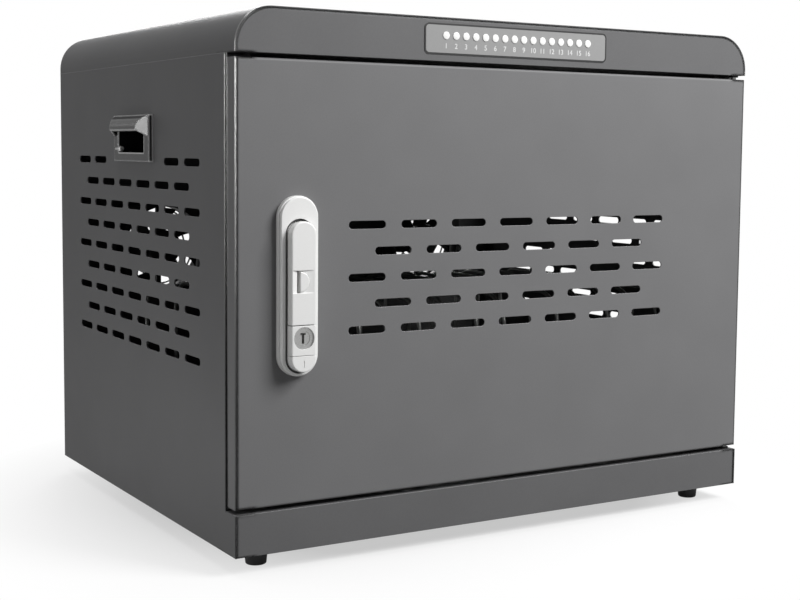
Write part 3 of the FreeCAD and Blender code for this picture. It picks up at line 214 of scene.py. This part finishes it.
# Bright zinc: a soft silver with a slight spangle and dull blotches.
zinc, tree, shader, place = surface("zinc_plated_steel_pressed")
spangle = add(tree, "ShaderNodeTexVoronoi", {"Vector": place, "Scale": per_mm(2.5)})
two_tone(tree, shader, spangle.outputs["Distance"], "#b4b5b4", "#c6c7c4", 0.28, 0.42)
shader.inputs["Metallic"].default_value = 1.0
dress(zinc, "foot_nuts", "hinge_pins", "handle_bracket", "handle_pin", "lock_nut", "lock_cam",
      "charger_pillars", "indicator_pillars", "charging_ports", "bay_dividers")


def piece(name, builder, material, body, slot, *replaced):
    # Finished mesh as one piece that moves with a body.
    bmesh.ops.recalc_face_normals(builder, faces=builder.faces)
    mesh = bpy.data.meshes.new(name)
    builder.to_mesh(mesh)
    builder.free()
    mesh.polygons.foreach_set("use_smooth", [True] * len(mesh.polygons))
    mesh.set_sharp_from_angle(angle=math.radians(32))
    mesh.materials.append(material)
    made = bpy.data.objects.new(name, mesh)
    bpy.context.scene.collection.objects.link(made)
    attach(made, body)
    if replaced:
        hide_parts(*replaced)


def bridge(builder, first, second):
    # Faces between two closed rows of corners.
    for i in range(len(first)):
        builder.faces.new((first[i - 1], first[i], second[i], second[i - 1]))


def turned(builder, profile, matrix, steps=32):
    # Body of revolution about the matrix's Z axis, from (radius, height) pairs
    # that start and end on the axis.
    rings = []
    for radius, height in profile:
        spots = [(0, 0, height)]
        if radius:
            spots = [(radius * math.cos(2 * math.pi * i / steps),
                      radius * math.sin(2 * math.pi * i / steps), height)
                     for i in range(steps)]
        rings.append([builder.verts.new(matrix @ Vector(spot)) for spot in spots])
    for low, high in zip(rings, rings[1:]):
        for i in range(steps):
            corners = [low[i % len(low)], low[(i + 1) % len(low)],
                       high[(i + 1) % len(high)], high[i % len(high)]]
            builder.faces.new([v for k, v in enumerate(corners) if v not in corners[:k]])


def screw(builder, matrix, head_radius, head, shank_radius, length, slotted=False):
    # Pan-head screw with a cross recess or a slot: head outwards along the matrix's
    # Z axis, seat at its origin, shank behind it.
    steps = 32
    wing = 0.15 * head_radius
    reach = 0.6 * head_radius
    turned(builder, [(0, -length), (0.7 * shank_radius, -length),
                     (shank_radius, 0.4 * shank_radius - length), (shank_radius, 0),
                     (head_radius, 0), (head_radius, 0.3 * head),
                     (0.96 * head_radius, 0.6 * head), (0.86 * head_radius, 0.85 * head),
                     (0.68 * head_radius, head)], matrix, steps)
    builder.verts.ensure_lookup_table()
    top = builder.verts[-steps:]
    outline = [(reach, wing), (wing, wing), (wing, reach)]
    outline += [(-b, a) for a, b in outline]
    outline += [(-a, -b) for a, b in outline]
    if slotted:
        outline = [(reach, wing), (-reach, wing), (-reach, -wing), (reach, -wing)]
    mouth = [builder.verts.new(matrix @ Vector((a, b, head))) for a, b in outline]
    pit = [builder.verts.new(matrix @ Vector((0.72 * a, 0.72 * b, 0.3 * head)))
           for a, b in outline]
    edges = [builder.edges.get((top[i - 1], top[i])) for i in range(steps)]
    edges += [builder.edges.new((mouth[i - 1], mouth[i])) for i in range(len(mouth))]
    bmesh.ops.triangle_fill(builder, edges=edges, use_beauty=True)
    bridge(builder, mouth, pit)
    builder.faces.new(pit)


foot_aside = 0.2375
foot_front = -0.1865
foot_rear = 0.1985
foot_recess = 0.007
foot_screw_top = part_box("foot_screws")[1].z
builder = bmesh.new()
for x in (-foot_aside, foot_aside):
    for y in (foot_front, foot_rear):
        seat = Matrix.Translation((x, y, foot_recess)) @ Matrix.Rotation(math.pi, 4, "X")
        screw(builder, seat, head_radius=0.0036, head=0.0024, shank_radius=0.0020,
              length=foot_screw_top - foot_recess)
piece("foot_cross_screws", builder, zinc, "cabinet", "zinc_steel", "foot_screws")


# Side grips: one-piece mouldings with a hood over a finger pocket, pushed into
# the side sheets and held by one slotted screw each. Glossy black ABS.

# Polished tooling gives a clear gloss with a very slight flow waviness.
grip_abs, tree, shader, place = surface("moulded_black_abs_gloss")
flow = add(tree, "ShaderNodeTexNoise", {"Vector": place, "Scale": per_mm(9), "Detail": 1.0})
black = two_tone(tree, shader, flow.outputs["Fac"], "#161617", "#1d1d1e", 0.09, 0.15)
# Painted highlight: the outer edges are drawn pale and bright.
thickness = add(tree, "ShaderNodeAmbientOcclusion", {"Distance": 0.0019},
                inside=True, only_local=True, samples=16)
painted_highlight_edge_mask = add(tree, "ShaderNodeMapRange", {"Value": thickness.outputs["AO"],
                                       "From Min": 0.94, "From Max": 0.70})
painted_edge_highlight = add(tree, "ShaderNodeMix", {"Factor": painted_highlight_edge_mask.outputs["Result"], "A": black,
                                        "B": tint("#eeeeee")}, data_type="RGBA")
tree.links.new(painted_edge_highlight.outputs["Result"], shader.inputs["Base Color"])
corner = add(tree, "ShaderNodeBevel", {"Radius": 0.0014}, samples=6)
wave = add(tree, "ShaderNodeBump", {"Height": flow.outputs["Fac"], "Strength": 0.05,
                                    "Distance": 0.001, "Normal": corner.outputs["Normal"]})
tree.links.new(wave.outputs["Normal"], shader.inputs["Normal"])
dress(grip_abs, "left_grip", "right_grip")

# Small screws are plated loose in a barrel, which leaves them pale and satin.
satin_nickel, tree, shader, place = surface("nickel_plated_steel_barrel_finish")
tumbled = add(tree, "ShaderNodeTexNoise", {"Vector": place, "Scale": per_mm(0.5),
                                           "Detail": 3.0})
two_tone(tree, shader, tumbled.outputs["Fac"], "#e2e2e1", "#efefee", 0.5, 0.62)
shader.inputs["Metallic"].default_value = 1.0

grip_head_radius = 0.0027
grip_head = 0.0018
screw_low, screw_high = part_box("grip_screws")
builder = bmesh.new()
for x in (screw_low.x + grip_head_radius, screw_high.x - grip_head_radius):
    seat = Matrix.Translation((x, screw_low.y + grip_head, (screw_low.z + screw_high.z) / 2))
    seat = seat @ Matrix.Rotation(math.pi / 2, 4, "X")
    screw(builder, seat @ Matrix.Rotation(math.radians(40), 4, "Z"), grip_head_radius,
          grip_head, shank_radius=0.0012, length=screw_high.y - screw_low.y - grip_head,
          slotted=True)
piece("grip_slotted_screws", builder, satin_nickel, "cabinet", "bright_steel", "grip_screws")


# Bays: a ribbed rubber mat on the tray under each device, between the wire hoops.
# Extruded black rubber strip, cut to length and stuck down.
mat_low, mat_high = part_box("bay_mats")
bay_count = 16
bay_pitch = 0.031
mat_half = mat_high.x - bay_pitch * (bay_count - 1) / 2
rib_count = 8
rib_pitch = 2 * mat_half / rib_count
web = mat_low.z + 0.0011
builder = bmesh.new()
for bay in range(bay_count):
    middle = (bay - (bay_count - 1) / 2) * bay_pitch
    section = [(middle + mat_half, mat_low.z), (middle - mat_half, mat_low.z)]
    for rib in range(rib_count):
        start = middle - mat_half + rib * rib_pitch
        section += [(start + share * rib_pitch, height)
                    for share, height in ((0, web), (0.25, web), (0.35, mat_high.z),
                                          (0.65, mat_high.z), (0.75, web))]
    section.append((middle + mat_half, web))
    ends = [[builder.verts.new((x, y, z)) for x, z in section]
            for y in (mat_low.y, mat_high.y)]
    bridge(builder, *ends)
    for end in ends:
        builder.faces.new(end)
piece("ribbed_bay_mats", builder, rubber, "cabinet", "rubber", "bay_mats")


# Charging unit: a board on pillars behind the port wall and two power supplies on
# the shelf. Glass-epoxy board with green solder mask, potted black supplies.

# Copper tracks show through the lacquer as lighter green bands about 2 mm apart.
solder_mask, tree, shader, place = surface("glass_epoxy_green_solder_mask")
tracks = add(tree, "ShaderNodeTexBrick", {"Vector": place, "Scale": per_mm(6),
                                          "Color1": tint("#0f4a26"),
                                          "Color2": tint("#125a2e"),
                                          "Mortar": tint("#0b3a1d")})
tree.links.new(tracks.outputs["Color"], shader.inputs["Base Color"])
lacquer = add(tree, "ShaderNodeTexNoise", {"Vector": place, "Scale": per_mm(3)})
wet = add(tree, "ShaderNodeMapRange", {"Value": lacquer.outputs["Fac"],
                                       "To Min": 0.25, "To Max": 0.4})
tree.links.new(wet.outputs["Result"], shader.inputs["Roughness"])
dress(solder_mask, "charger_board", "indicator_board")

# Spark-eroded tooling leaves a fine matt grain of about 0.3 mm, drawn at 0.7 mm.
black_nylon, tree, shader, place = surface("moulded_black_nylon_spark_eroded")
grain = add(tree, "ShaderNodeTexNoise", {"Vector": place, "Scale": per_mm(0.7), "Detail": 2.0})
two_tone(tree, shader, grain.outputs["Fac"], "#171718", "#222223", 0.42, 0.58)
erode = add(tree, "ShaderNodeBump", {"Height": grain.outputs["Fac"], "Strength": 0.15,
                                     "Distance": 0.0001})
tree.links.new(erode.outputs["Normal"], shader.inputs["Normal"])
dress(black_nylon, "power_supplies", "left_fan_frame", "right_fan_frame", "mains_inlet",
      "switch_body", "switch_rocker", "hinge_bushes")

# Black tongue inside each port's metal shell, with a rounded leading edge.
tongue_half_width = 0.0056
tongue_half_height = 0.0010
tongue_setback = 0.0006
tongue_short_of_rear = 0.0031
port_low, port_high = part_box("charging_ports")
port_z = (port_low.z + port_high.z) / 2
builder = bmesh.new()
for bay in range(bay_count):
    middle = (bay - (bay_count - 1) / 2) * bay_pitch
    low = Vector((middle - tongue_half_width, port_low.y + tongue_setback,
                  port_z - tongue_half_height))
    high = Vector((middle + tongue_half_width, port_high.y - tongue_short_of_rear,
                   port_z + tongue_half_height))
    block = bmesh.ops.create_cube(builder, size=1.0)["verts"]
    bmesh.ops.scale(builder, vec=high - low, verts=block)
    bmesh.ops.translate(builder, vec=(low + high) / 2, verts=block)
    lead = [e for e in {e for v in block for e in v.link_edges}
            if all(v.co.y < low.y + 0.0001 for v in e.verts)]
    bmesh.ops.bevel(builder, geom=lead, offset=0.0005, segments=2, affect="EDGES")
piece("port_tongues", builder, black_nylon, "cabinet", "black_plastic")


# Fans: two square axial fans behind the rear panel, with round-wire guards held by
# four cross-head screws each. Moulded nylon frame and rotor, zinc-plated wire.
fan_places = ((-0.165, 0.238), (0.165, 0.238))
screw_step = 0.04125
screw_seat = 0.2330
wire = 0.0010
outer_ring = 0.042
ring_step = 0.0095
eye_radius = 0.0042
spoke_reach = screw_step - 0.0030
ring_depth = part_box("fan_guards")[1].y - wire
spoke_depth = ring_depth - 2 * wire
rods = bpy.data.curves.new("fan_guard_wires", "CURVE")
rods.dimensions = "3D"
rods.bevel_depth = wire
rods.bevel_resolution = 3
rods.use_fill_caps = True


def bent_wire(points, closed):
    strand = rods.splines.new("POLY")
    strand.points.add(len(points) - 1)
    for spot, point in zip(strand.points, points):
        spot.co = (*point, 1)
    strand.use_cyclic_u = closed


def wire_ring(x, y, z, radius, steps):
    bent_wire([(x + radius * math.cos(2 * math.pi * i / steps), y,
                z + radius * math.sin(2 * math.pi * i / steps)) for i in range(steps)], True)


for x, z in fan_places:
    for ring in range(4):
        wire_ring(x, ring_depth, z, outer_ring - ring_step * ring, 64)
    for side in (-1, 1):
        bent_wire([(x + side * spoke_reach * t, spoke_depth, z + spoke_reach * t)
                   for t in (-1, -0.5, 0, 0.5, 1)], False)
        for end in (-1, 1):
            wire_ring(x + side * end * screw_step, spoke_depth, z + end * screw_step,
                      eye_radius, 24)
guard_form = bpy.data.objects.new("fan_guard_form", rods)
bpy.context.scene.collection.objects.link(guard_form)
bpy.context.view_layer.update()
builder = bmesh.new()
builder.from_mesh(guard_form.evaluated_get(bpy.context.evaluated_depsgraph_get()).to_mesh())
bpy.data.objects.remove(guard_form)
piece("fan_guard_wires", builder, zinc, "cabinet", "zinc_steel", "fan_guards")

builder = bmesh.new()
for x, z in fan_places:
    for a in (-1, 1):
        for b in (-1, 1):
            seat = Matrix.Translation((x + a * screw_step, screw_seat, z + b * screw_step))
            screw(builder, seat @ Matrix.Rotation(-math.pi / 2, 4, "X"), head_radius=0.0034,
                  head=0.0018, shank_radius=0.0018, length=0.009)
piece("fan_cross_screws", builder, zinc, "cabinet", "zinc_steel", "fan_screws")

# Rotor: a domed hub with seven cambered blades that sweep back towards the tips.
blade_count = 7
hub_radius = 0.019
hub_wall = 0.0015
hub_floor = 0.0016
tip_radius = 0.0425
root_radius = hub_radius - 0.0006
blade_camber = 0.0022
blade_half_thickness = 0.0006
blade_sweep = 0.35
spans, chords = 6, 8
border = ([(r, 0) for r in range(spans + 1)] + [(spans, c) for c in range(1, chords + 1)]
          + [(r, chords) for r in range(spans - 1, -1, -1)]
          + [(0, c) for c in range(chords - 1, 0, -1)])
for side, (x, z) in zip(("left", "right"), fan_places):
    builder = bmesh.new()
    low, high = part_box(side + "_fan_rotor")
    depth = high.y - low.y
    seat = Matrix.Translation((x, low.y, z)) @ Matrix.Rotation(-math.pi / 2, 4, "X")
    turned(builder, [(0, 0), (hub_radius - 0.003, 0), (hub_radius - 0.001, 0.0008),
                     (hub_radius, 0.003), (hub_radius, depth), (hub_radius - hub_wall, depth),
                     (hub_radius - hub_wall, hub_floor), (0.0016, hub_floor),
                     (0.0015, depth), (0, depth)], seat, 48)
    for number in range(blade_count):
        skins = []
        for skin_side in (-1, 1):
            rows = []
            for r in range(spans + 1):
                share = r / spans
                radius = root_radius + (tip_radius - root_radius) * share
                pitch = math.radians(44 - 16 * share)
                chord = 0.0165 + 0.0045 * share
                row = []
                for c in range(chords + 1):
                    t = c / chords - 0.5
                    camber = (blade_camber * (1 - 4 * t * t)
                              + skin_side * blade_half_thickness * (1 - (2 * t) ** 6))
                    run = t * chord * math.cos(pitch) - camber * math.sin(pitch)
                    lift = t * chord * math.sin(pitch) + camber * math.cos(pitch)
                    angle = (2 * math.pi * number / blade_count + run / radius
                             - blade_sweep * share)
                    row.append(builder.verts.new((x + radius * math.cos(angle),
                                                  (low.y + high.y) / 2 + lift,
                                                  z + radius * math.sin(angle))))
                rows.append(row)
            for r in range(spans):
                for c in range(chords):
                    builder.faces.new((rows[r][c], rows[r][c + 1],
                                       rows[r + 1][c + 1], rows[r + 1][c]))
            skins.append(rows)
        bridge(builder, *[[rows[r][c] for r, c in border] for rows in skins])
    bmesh.ops.remove_doubles(builder, verts=builder.verts, dist=0.000001)
    piece(side + "_fan_bladed_rotor", builder, black_nylon, side + "_fan", "black_plastic",
          side + "_fan_rotor")


# Indicator strip: a printed overlay on the fascia with a dark border, sixteen
# white lenses in one row and their numbers below, and lamps behind them.

# Velvet polyester: matt, a shade lighter than the coat, with a fine even tooth.
film, tree, shader, place = surface("polyester_overlay_velvet_print")
tooth = add(tree, "ShaderNodeTexNoise", {"Vector": place, "Scale": per_mm(0.9), "Detail": 2.0})
two_tone(tree, shader, tooth.outputs["Fac"], "#8f8f8f", "#989898", 0.5, 0.62)
dress(film, "indicator_panel")

# Frosted acrylic over a white lamp: bright, milky, a little glossy.
lens_white, tree, shader, place = surface("frosted_acrylic_lens")
frost = add(tree, "ShaderNodeTexNoise", {"Vector": place, "Scale": per_mm(0.6)})
two_tone(tree, shader, frost.outputs["Fac"], "#f4f4f2", "#fdfdfc", 0.25, 0.38)
dress(lens_white, "indicator_lamps")

lens_low, lens_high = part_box("indicator_lenses")
lens_radius = (lens_high.z - lens_low.z) / 2
lens_z = (lens_high.z + lens_low.z) / 2
lens_reach = lens_low.y - lens_high.y
lamp_pitch = 0.01008
dome = [(1, -0.0001), (0.97, 0.0001), (0.8, 0.0002), (0.5, 0.0003), (0.25, 0.00035),
        (0, 0.00036)]
builder = bmesh.new()
for bay in range(bay_count):
    middle = (bay - (bay_count - 1) / 2) * lamp_pitch
    seat = Matrix.Translation((middle, lens_low.y, lens_z))
    turned(builder, [(0, lens_reach), (lens_radius, lens_reach)]
           + [(share * lens_radius, height) for share, height in dome],
           seat @ Matrix.Rotation(math.pi / 2, 4, "X"))
piece("domed_lenses", builder, lens_white, "cabinet", "lens", "indicator_lenses")


def printed_ink(name, dark, pale):
    # Screen ink: dense and matt with a faint mesh mark of about 0.2 mm, drawn at 0.5 mm.
    ink, tree, shader, place = surface(name)
    mesh_mark = add(tree, "ShaderNodeTexNoise", {"Vector": place, "Scale": per_mm(0.5)})
    colour = add(tree, "ShaderNodeMix", {"Factor": mesh_mark.outputs["Fac"], "A": tint(dark),
                                         "B": tint(pale)}, data_type="RGBA")
    tree.links.new(colour.outputs["Result"], shader.inputs["Base Color"])
    shader.inputs["Roughness"].default_value = 0.55
    return ink


def rounded_outline(half_x, half_z, radius, steps=8):
    points = []
    for quarter, (sx, sz) in enumerate(((1, 1), (-1, 1), (-1, -1), (1, -1))):
        for i in range(steps + 1):
            angle = math.pi / 2 * (quarter + i / steps)
            points.append((sx * (half_x - radius) + radius * math.cos(angle),
                           sz * (half_z - radius) + radius * math.sin(angle)))
    return points


def raised_print(builder, matrix, outer, inner, sunk, proud):
    # Ink between two outlines, or inside the first, on the matrix's XY plane.
    rows = [[builder.verts.new(matrix @ Vector((a, b, height))) for a, b in outline]
            for outline, height in ((outer, -sunk), (outer, proud), (inner, proud),
                                    (inner, -sunk)) if outline]
    for first, second in zip(rows, rows[1:]):
        bridge(builder, first, second)
    if inner:
        bridge(builder, rows[-1], rows[0])
    else:
        for row in rows:
            builder.faces.new(row)


border_ink = printed_ink("screen_printed_black_ink", "#0b0b0c", "#141415")
panel_low, panel_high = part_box("indicator_panel")
half_x = (panel_high.x - panel_low.x) / 2
half_z = (panel_high.z - panel_low.z) / 2
panel_corner = 0.0045
line = 0.0014
builder = bmesh.new()
raised_print(builder, Matrix.Translation((0, panel_low.y, (panel_low.z + panel_high.z) / 2))
             @ Matrix.Rotation(math.pi / 2, 4, "X"),
             rounded_outline(half_x, half_z, panel_corner),
             rounded_outline(half_x - line, half_z - line, panel_corner - line),
             sunk=0.00003, proud=0.00006)
piece("panel_border", builder, border_ink, "cabinet", "panel_film")

# The numbers are the same ink in a pale grey.
number_ink = printed_ink("screen_printed_pale_ink", "#d8d8d8", "#e4e4e4")
number_height = 0.0062
number_drop = 0.0090
builder = bmesh.new()
for bay in range(bay_count):
    digits = bpy.data.curves.new("digits", "FONT")
    digits.body = str(bay + 1)
    digits.size = number_height
    digits.align_x = "CENTER"
    digits.align_y = "CENTER"
    digits.extrude = 0.00004
    digits.offset = 0.00006
    form = bpy.data.objects.new("digits", digits)
    bpy.context.scene.collection.objects.link(form)
    middle = (bay - (bay_count - 1) / 2) * lamp_pitch
    form.matrix_world = Matrix.Translation(
        (middle, panel_low.y - 0.00002, lens_z - number_drop)) @ Matrix.Rotation(
        math.pi / 2, 4, "X")
    bpy.context.view_layer.update()
    shape = bpy.data.meshes.new_from_object(
        form.evaluated_get(bpy.context.evaluated_depsgraph_get()))
    shape.transform(form.matrix_world)
    builder.from_mesh(shape)
    bpy.data.objects.remove(form)
piece("bay_numbers", builder, number_ink, "cabinet", "panel_film")


# Mains inlet and switch on the rear panel: moulded black bodies, brass pins, two
# cross-head screws, and a bar and a ring printed on the rocker's halves.

# Turned brass: warm yellow metal, a little dulled in patches.
brass, tree, shader, place = surface("turned_brass")
tarnish = add(tree, "ShaderNodeTexNoise", {"Vector": place, "Scale": per_mm(2), "Detail": 3.0})
two_tone(tree, shader, tarnish.outputs["Fac"], "#b8934a", "#d2b06a", 0.2, 0.35)
shader.inputs["Metallic"].default_value = 1.0
dress(brass, "inlet_pins")

inlet_head_radius = 0.0027
inlet_head = 0.0012
inlet_low, inlet_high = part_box("inlet_screws")
builder = bmesh.new()
for x in (inlet_low.x + inlet_head_radius, inlet_high.x - inlet_head_radius):
    seat = Matrix.Translation((x, inlet_high.y - inlet_head, (inlet_low.z + inlet_high.z) / 2))
    screw(builder, seat @ Matrix.Rotation(-math.pi / 2, 4, "X"), inlet_head_radius,
          inlet_head, shank_radius=0.0015, length=0.007)
piece("inlet_cross_screws", builder, zinc, "cabinet", "zinc_steel", "inlet_screws")

# The bar lies on the proud upper half, which leans down, and the ring on the lower half.
bar = rounded_outline(0.0004, 0.0020, 0.0004 * 0.98)
ring_outer = rounded_outline(0.0019, 0.0019, 0.0019 * 0.98)
ring_inner = rounded_outline(0.0012, 0.0012, 0.0012 * 0.98)
builder = bmesh.new()
for middle, outward, outer, inner in (
        ((0.1600, 0.23233, 0.40492), Vector((0, 0.965, -0.262)), bar, None),
        ((0.1600, 0.23112, 0.39631), Vector((0, 1.0, -0.014)), ring_outer, ring_inner)):
    up = Vector((0, -outward.z, outward.y))
    plane = Matrix((Vector((1, 0, 0)), up, outward)).transposed().to_4x4()
    raised_print(builder, Matrix.Translation(middle) @ plane, outer, inner,
                 sunk=0.00004, proud=0.00005)
piece("rocker_marks", builder, number_ink, "rocker", "panel_film")


# Door: a slotted pan with folded edges, two stiffening channels behind its face
# and a pin at the top and bottom of its right edge. Its coat is drawn a shade
# lighter than the body's.
door_coat = powder_coat.copy()
door_coat.name = "powder_coated_steel_fine_texture_door"
door_grey = door_coat.node_tree.nodes[grey.name]
door_grey.inputs["A"].default_value = tint("#757576")
door_grey.inputs["B"].default_value = tint("#7d7d7e")
dress(door_coat, "door_panel", "door_stiffeners")


# Lock: a stepped oblong base on the door with a lift-out handle, a release button,
# a cylinder block, an end cap and a key cylinder. Die-cast zinc under satin silver
# lacquer, and a nickel-plated cylinder and plug.

# Aluminium-flake lacquer: a pale even silver with a tiny sparkle.
silver_lacquer, tree, shader, place = surface("die_cast_zinc_satin_silver_lacquer")
flake = add(tree, "ShaderNodeTexNoise", {"Vector": place, "Scale": per_mm(0.8), "Detail": 2.0})
two_tone(tree, shader, flake.outputs["Fac"], "#efefee", "#f6f6f5", 0.3, 0.42)
shader.inputs["Metallic"].default_value = 0.04
brim = add(tree, "ShaderNodeBevel", {"Radius": 0.0007}, samples=6)
tree.links.new(brim.outputs["Normal"], shader.inputs["Normal"])
dress(silver_lacquer, "lock_base", "lock_handle", "cylinder_block", "lock_end_cap",
      "release_button")

# Nickel over turned brass: a neutral mirror broken by hairline scratches.
nickel, tree, shader, place = surface("nickel_plated_brass_polished")
hairs = add(tree, "ShaderNodeTexNoise", {"Vector": place, "Scale": per_mm(0.7), "Detail": 4.0})
two_tone(tree, shader, hairs.outputs["Fac"], "#c2c2c1", "#d6d6d5", 0.22, 0.36)
shader.inputs["Metallic"].default_value = 1.0
dress(nickel, "lock_cylinder", "key_plug")

# Rubber bead laid in the groove between the base and the bar, under the handle.
bar_x = -0.2172
bar_low = 0.1658
bar_high = 0.2877
bar_radius = 0.0110
groove_floor = -0.2222
bead_top = -0.2264


def bar_outline(margin, steps=24):
    points = []
    for end, z in ((0, bar_high - bar_radius), (1, bar_low + bar_radius)):
        for i in range(steps + 1):
            angle = math.pi * (end + i / steps)
            points.append((bar_x + (bar_radius + margin) * math.cos(angle),
                           z + (bar_radius + margin) * math.sin(angle)))
    return points


section = [(0.0004, groove_floor), (0.0004, bead_top + 0.0004), (0.0007, bead_top),
           (0.0013, bead_top), (0.0017, bead_top + 0.0004), (0.0017, groove_floor)]
builder = bmesh.new()
rows = [[builder.verts.new((x, y, z)) for x, z in bar_outline(margin)]
        for margin, y in section]
for k in range(len(rows)):
    bridge(builder, rows[k - 1], rows[k])
piece("handle_bead", builder, rubber, "door", "rubber")

lock_head_radius = 0.0036
lock_head = 0.0024
screw_low, screw_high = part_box("lock_screws")
builder = bmesh.new()
for z in (screw_low.z + lock_head_radius, screw_high.z - lock_head_radius):
    seat = Matrix.Translation((bar_x, screw_high.y - lock_head, z))
    screw(builder, seat @ Matrix.Rotation(-math.pi / 2, 4, "X"), lock_head_radius, lock_head,
          shank_radius=0.0020, length=0.0064)
piece("lock_cross_screws", builder, zinc, "door", "zinc_steel", "lock_screws")

cam_head = 0.0026
screw_low, screw_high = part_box("cam_screw")
builder = bmesh.new()
seat = Matrix.Translation((bar_x, screw_high.y - cam_head, (screw_low.z + screw_high.z) / 2))
screw(builder, seat @ Matrix.Rotation(-math.pi / 2, 4, "X"), head_radius=0.0050, head=cam_head,
      shank_radius=0.0020, length=0.008)
piece("cam_cross_screw", builder, zinc, "key", "zinc_steel", "cam_screw")


# Stage: a pale studio floor and white surround, soft boxes at the upper right, back
# and top, strips at the left, and a camera at the photograph's place.
floor_mesh = bpy.data.meshes.new("studio_floor")
builder = bmesh.new()
bmesh.ops.create_grid(builder, x_segments=1, y_segments=1, size=6.0)
builder.to_mesh(floor_mesh)
builder.free()
floor = bpy.data.objects.new("studio_floor", floor_mesh)
bpy.context.scene.collection.objects.link(floor)


def seen_share(tree, mirrored):
    # White for the eye and through clear pieces, dimmer in reflections, and no part
    # of the light on the object.
    rays = add(tree, "ShaderNodeLightPath").outputs
    dim = add(tree, "ShaderNodeMath", {0: rays["Is Glossy Ray"], 1: mirrored},
              operation="MULTIPLY")
    seen = add(tree, "ShaderNodeMath", {0: rays["Is Camera Ray"], 1: dim.outputs[0]},
               operation="MAXIMUM")
    seen = add(tree, "ShaderNodeMath", {0: seen.outputs[0], 1: rays["Is Transmission Ray"]},
               operation="MAXIMUM")
    return seen.outputs[0]


paper, tree, shader, place = surface("seamless_paper_floor")
tree.nodes.remove(shader)
seen = seen_share(tree, 0.2)
reach = add(tree, "ShaderNodeVectorMath", {0: place}, operation="LENGTH")
# Close to the object the paper takes its shadow; further out it is plain white.
share = add(tree, "ShaderNodeMapRange", {"Value": reach.outputs["Value"],
                                         "From Min": 0.25, "From Max": 0.46,
                                         "To Min": 0.55, "To Max": 1.0})
share = add(tree, "ShaderNodeMath", {0: share.outputs["Result"], 1: seen},
            operation="MULTIPLY")
# Less light comes back from the paper than the eye sees on it.
shade = add(tree, "ShaderNodeMix", {"Factor": seen, "A": tint("#808080"),
                                    "B": tint("#f4f4f4")}, data_type="RGBA")
lit = add(tree, "ShaderNodeBsdfDiffuse", {"Color": shade.outputs["Result"]})
glow = add(tree, "ShaderNodeEmission", {"Color": tint("#ffffff"), "Strength": 1.0})
sheet = add(tree, "ShaderNodeMixShader", {0: share.outputs[0], 1: lit.outputs[0],
                                          2: glow.outputs[0]})
tree.links.new(sheet.outputs[0], tree.nodes["Material Output"].inputs["Surface"])
floor_mesh.materials.append(paper)

world = bpy.data.worlds.new("white_surround")
world.use_nodes = True
bpy.context.scene.world = world
tree = world.node_tree
level = add(tree, "ShaderNodeMapRange", {"Value": seen_share(tree, 0.4),
                                         "To Min": 0.10, "To Max": 1.0})
tree.links.new(level.outputs["Result"], tree.nodes["Background"].inputs["Strength"])
tree.nodes["Background"].inputs["Color"].default_value = tint("#ffffff")


def softbox(name, place, aim, width, height, power):
    lamp = bpy.data.lights.new(name, "AREA")
    lamp.shape = "RECTANGLE"
    lamp.size = width
    lamp.size_y = height
    lamp.energy = power
    holder = bpy.data.objects.new(name, lamp)
    bpy.context.scene.collection.objects.link(holder)
    holder.location = place
    holder.rotation_euler = (Vector(aim) - Vector(place)).to_track_quat("-Z", "Y").to_euler()


softbox("key_softbox", place=(0.85, -1.35, 1.4), aim=(0.1, -0.2, 0.35),
        width=0.9, height=0.9, power=45)
softbox("edge_strip", place=(-2.0, -0.15, 0.45), aim=(-0.27, -0.1, 0.35),
        width=0.2, height=0.75, power=4.5)
softbox("low_strip", place=(-0.55, 0.0, 0.03), aim=(-0.27, 0.0, 0.02),
        width=0.5, height=0.05, power=0.22)
softbox("back_softbox", place=(0.8, 2.0, 1.3), aim=(0.1, 0.2, 0.3),
        width=1.0, height=1.0, power=26)
softbox("top_softbox", place=(-0.25, 0.1, 1.75), aim=(-0.2, 0, 0.4),
        width=1.0, height=1.2, power=11)

camera_data = bpy.data.cameras.new("photo_camera")
camera_data.sensor_width = 36.0
camera_data.lens = 64.21
camera_data.shift_x = -0.0422
camera_data.shift_y = -0.0354
camera = bpy.data.objects.new("photo_camera", camera_data)
bpy.context.scene.collection.objects.link(camera)
stand = (-0.72653, -1.25741, 0.34522)
right = Vector((0.85141, -0.52440, 0.01016))
down = Vector((-0.03579, -0.07742, -0.99636))
ahead = Vector((0.52327, 0.84795, -0.08469))
camera.matrix_world = (Matrix.Translation(stand)
                       @ Matrix((right, -down, -ahead)).transposed().to_4x4())
bpy.context.scene.camera = camera
bpy.context.scene.view_settings.view_transform = "Standard"
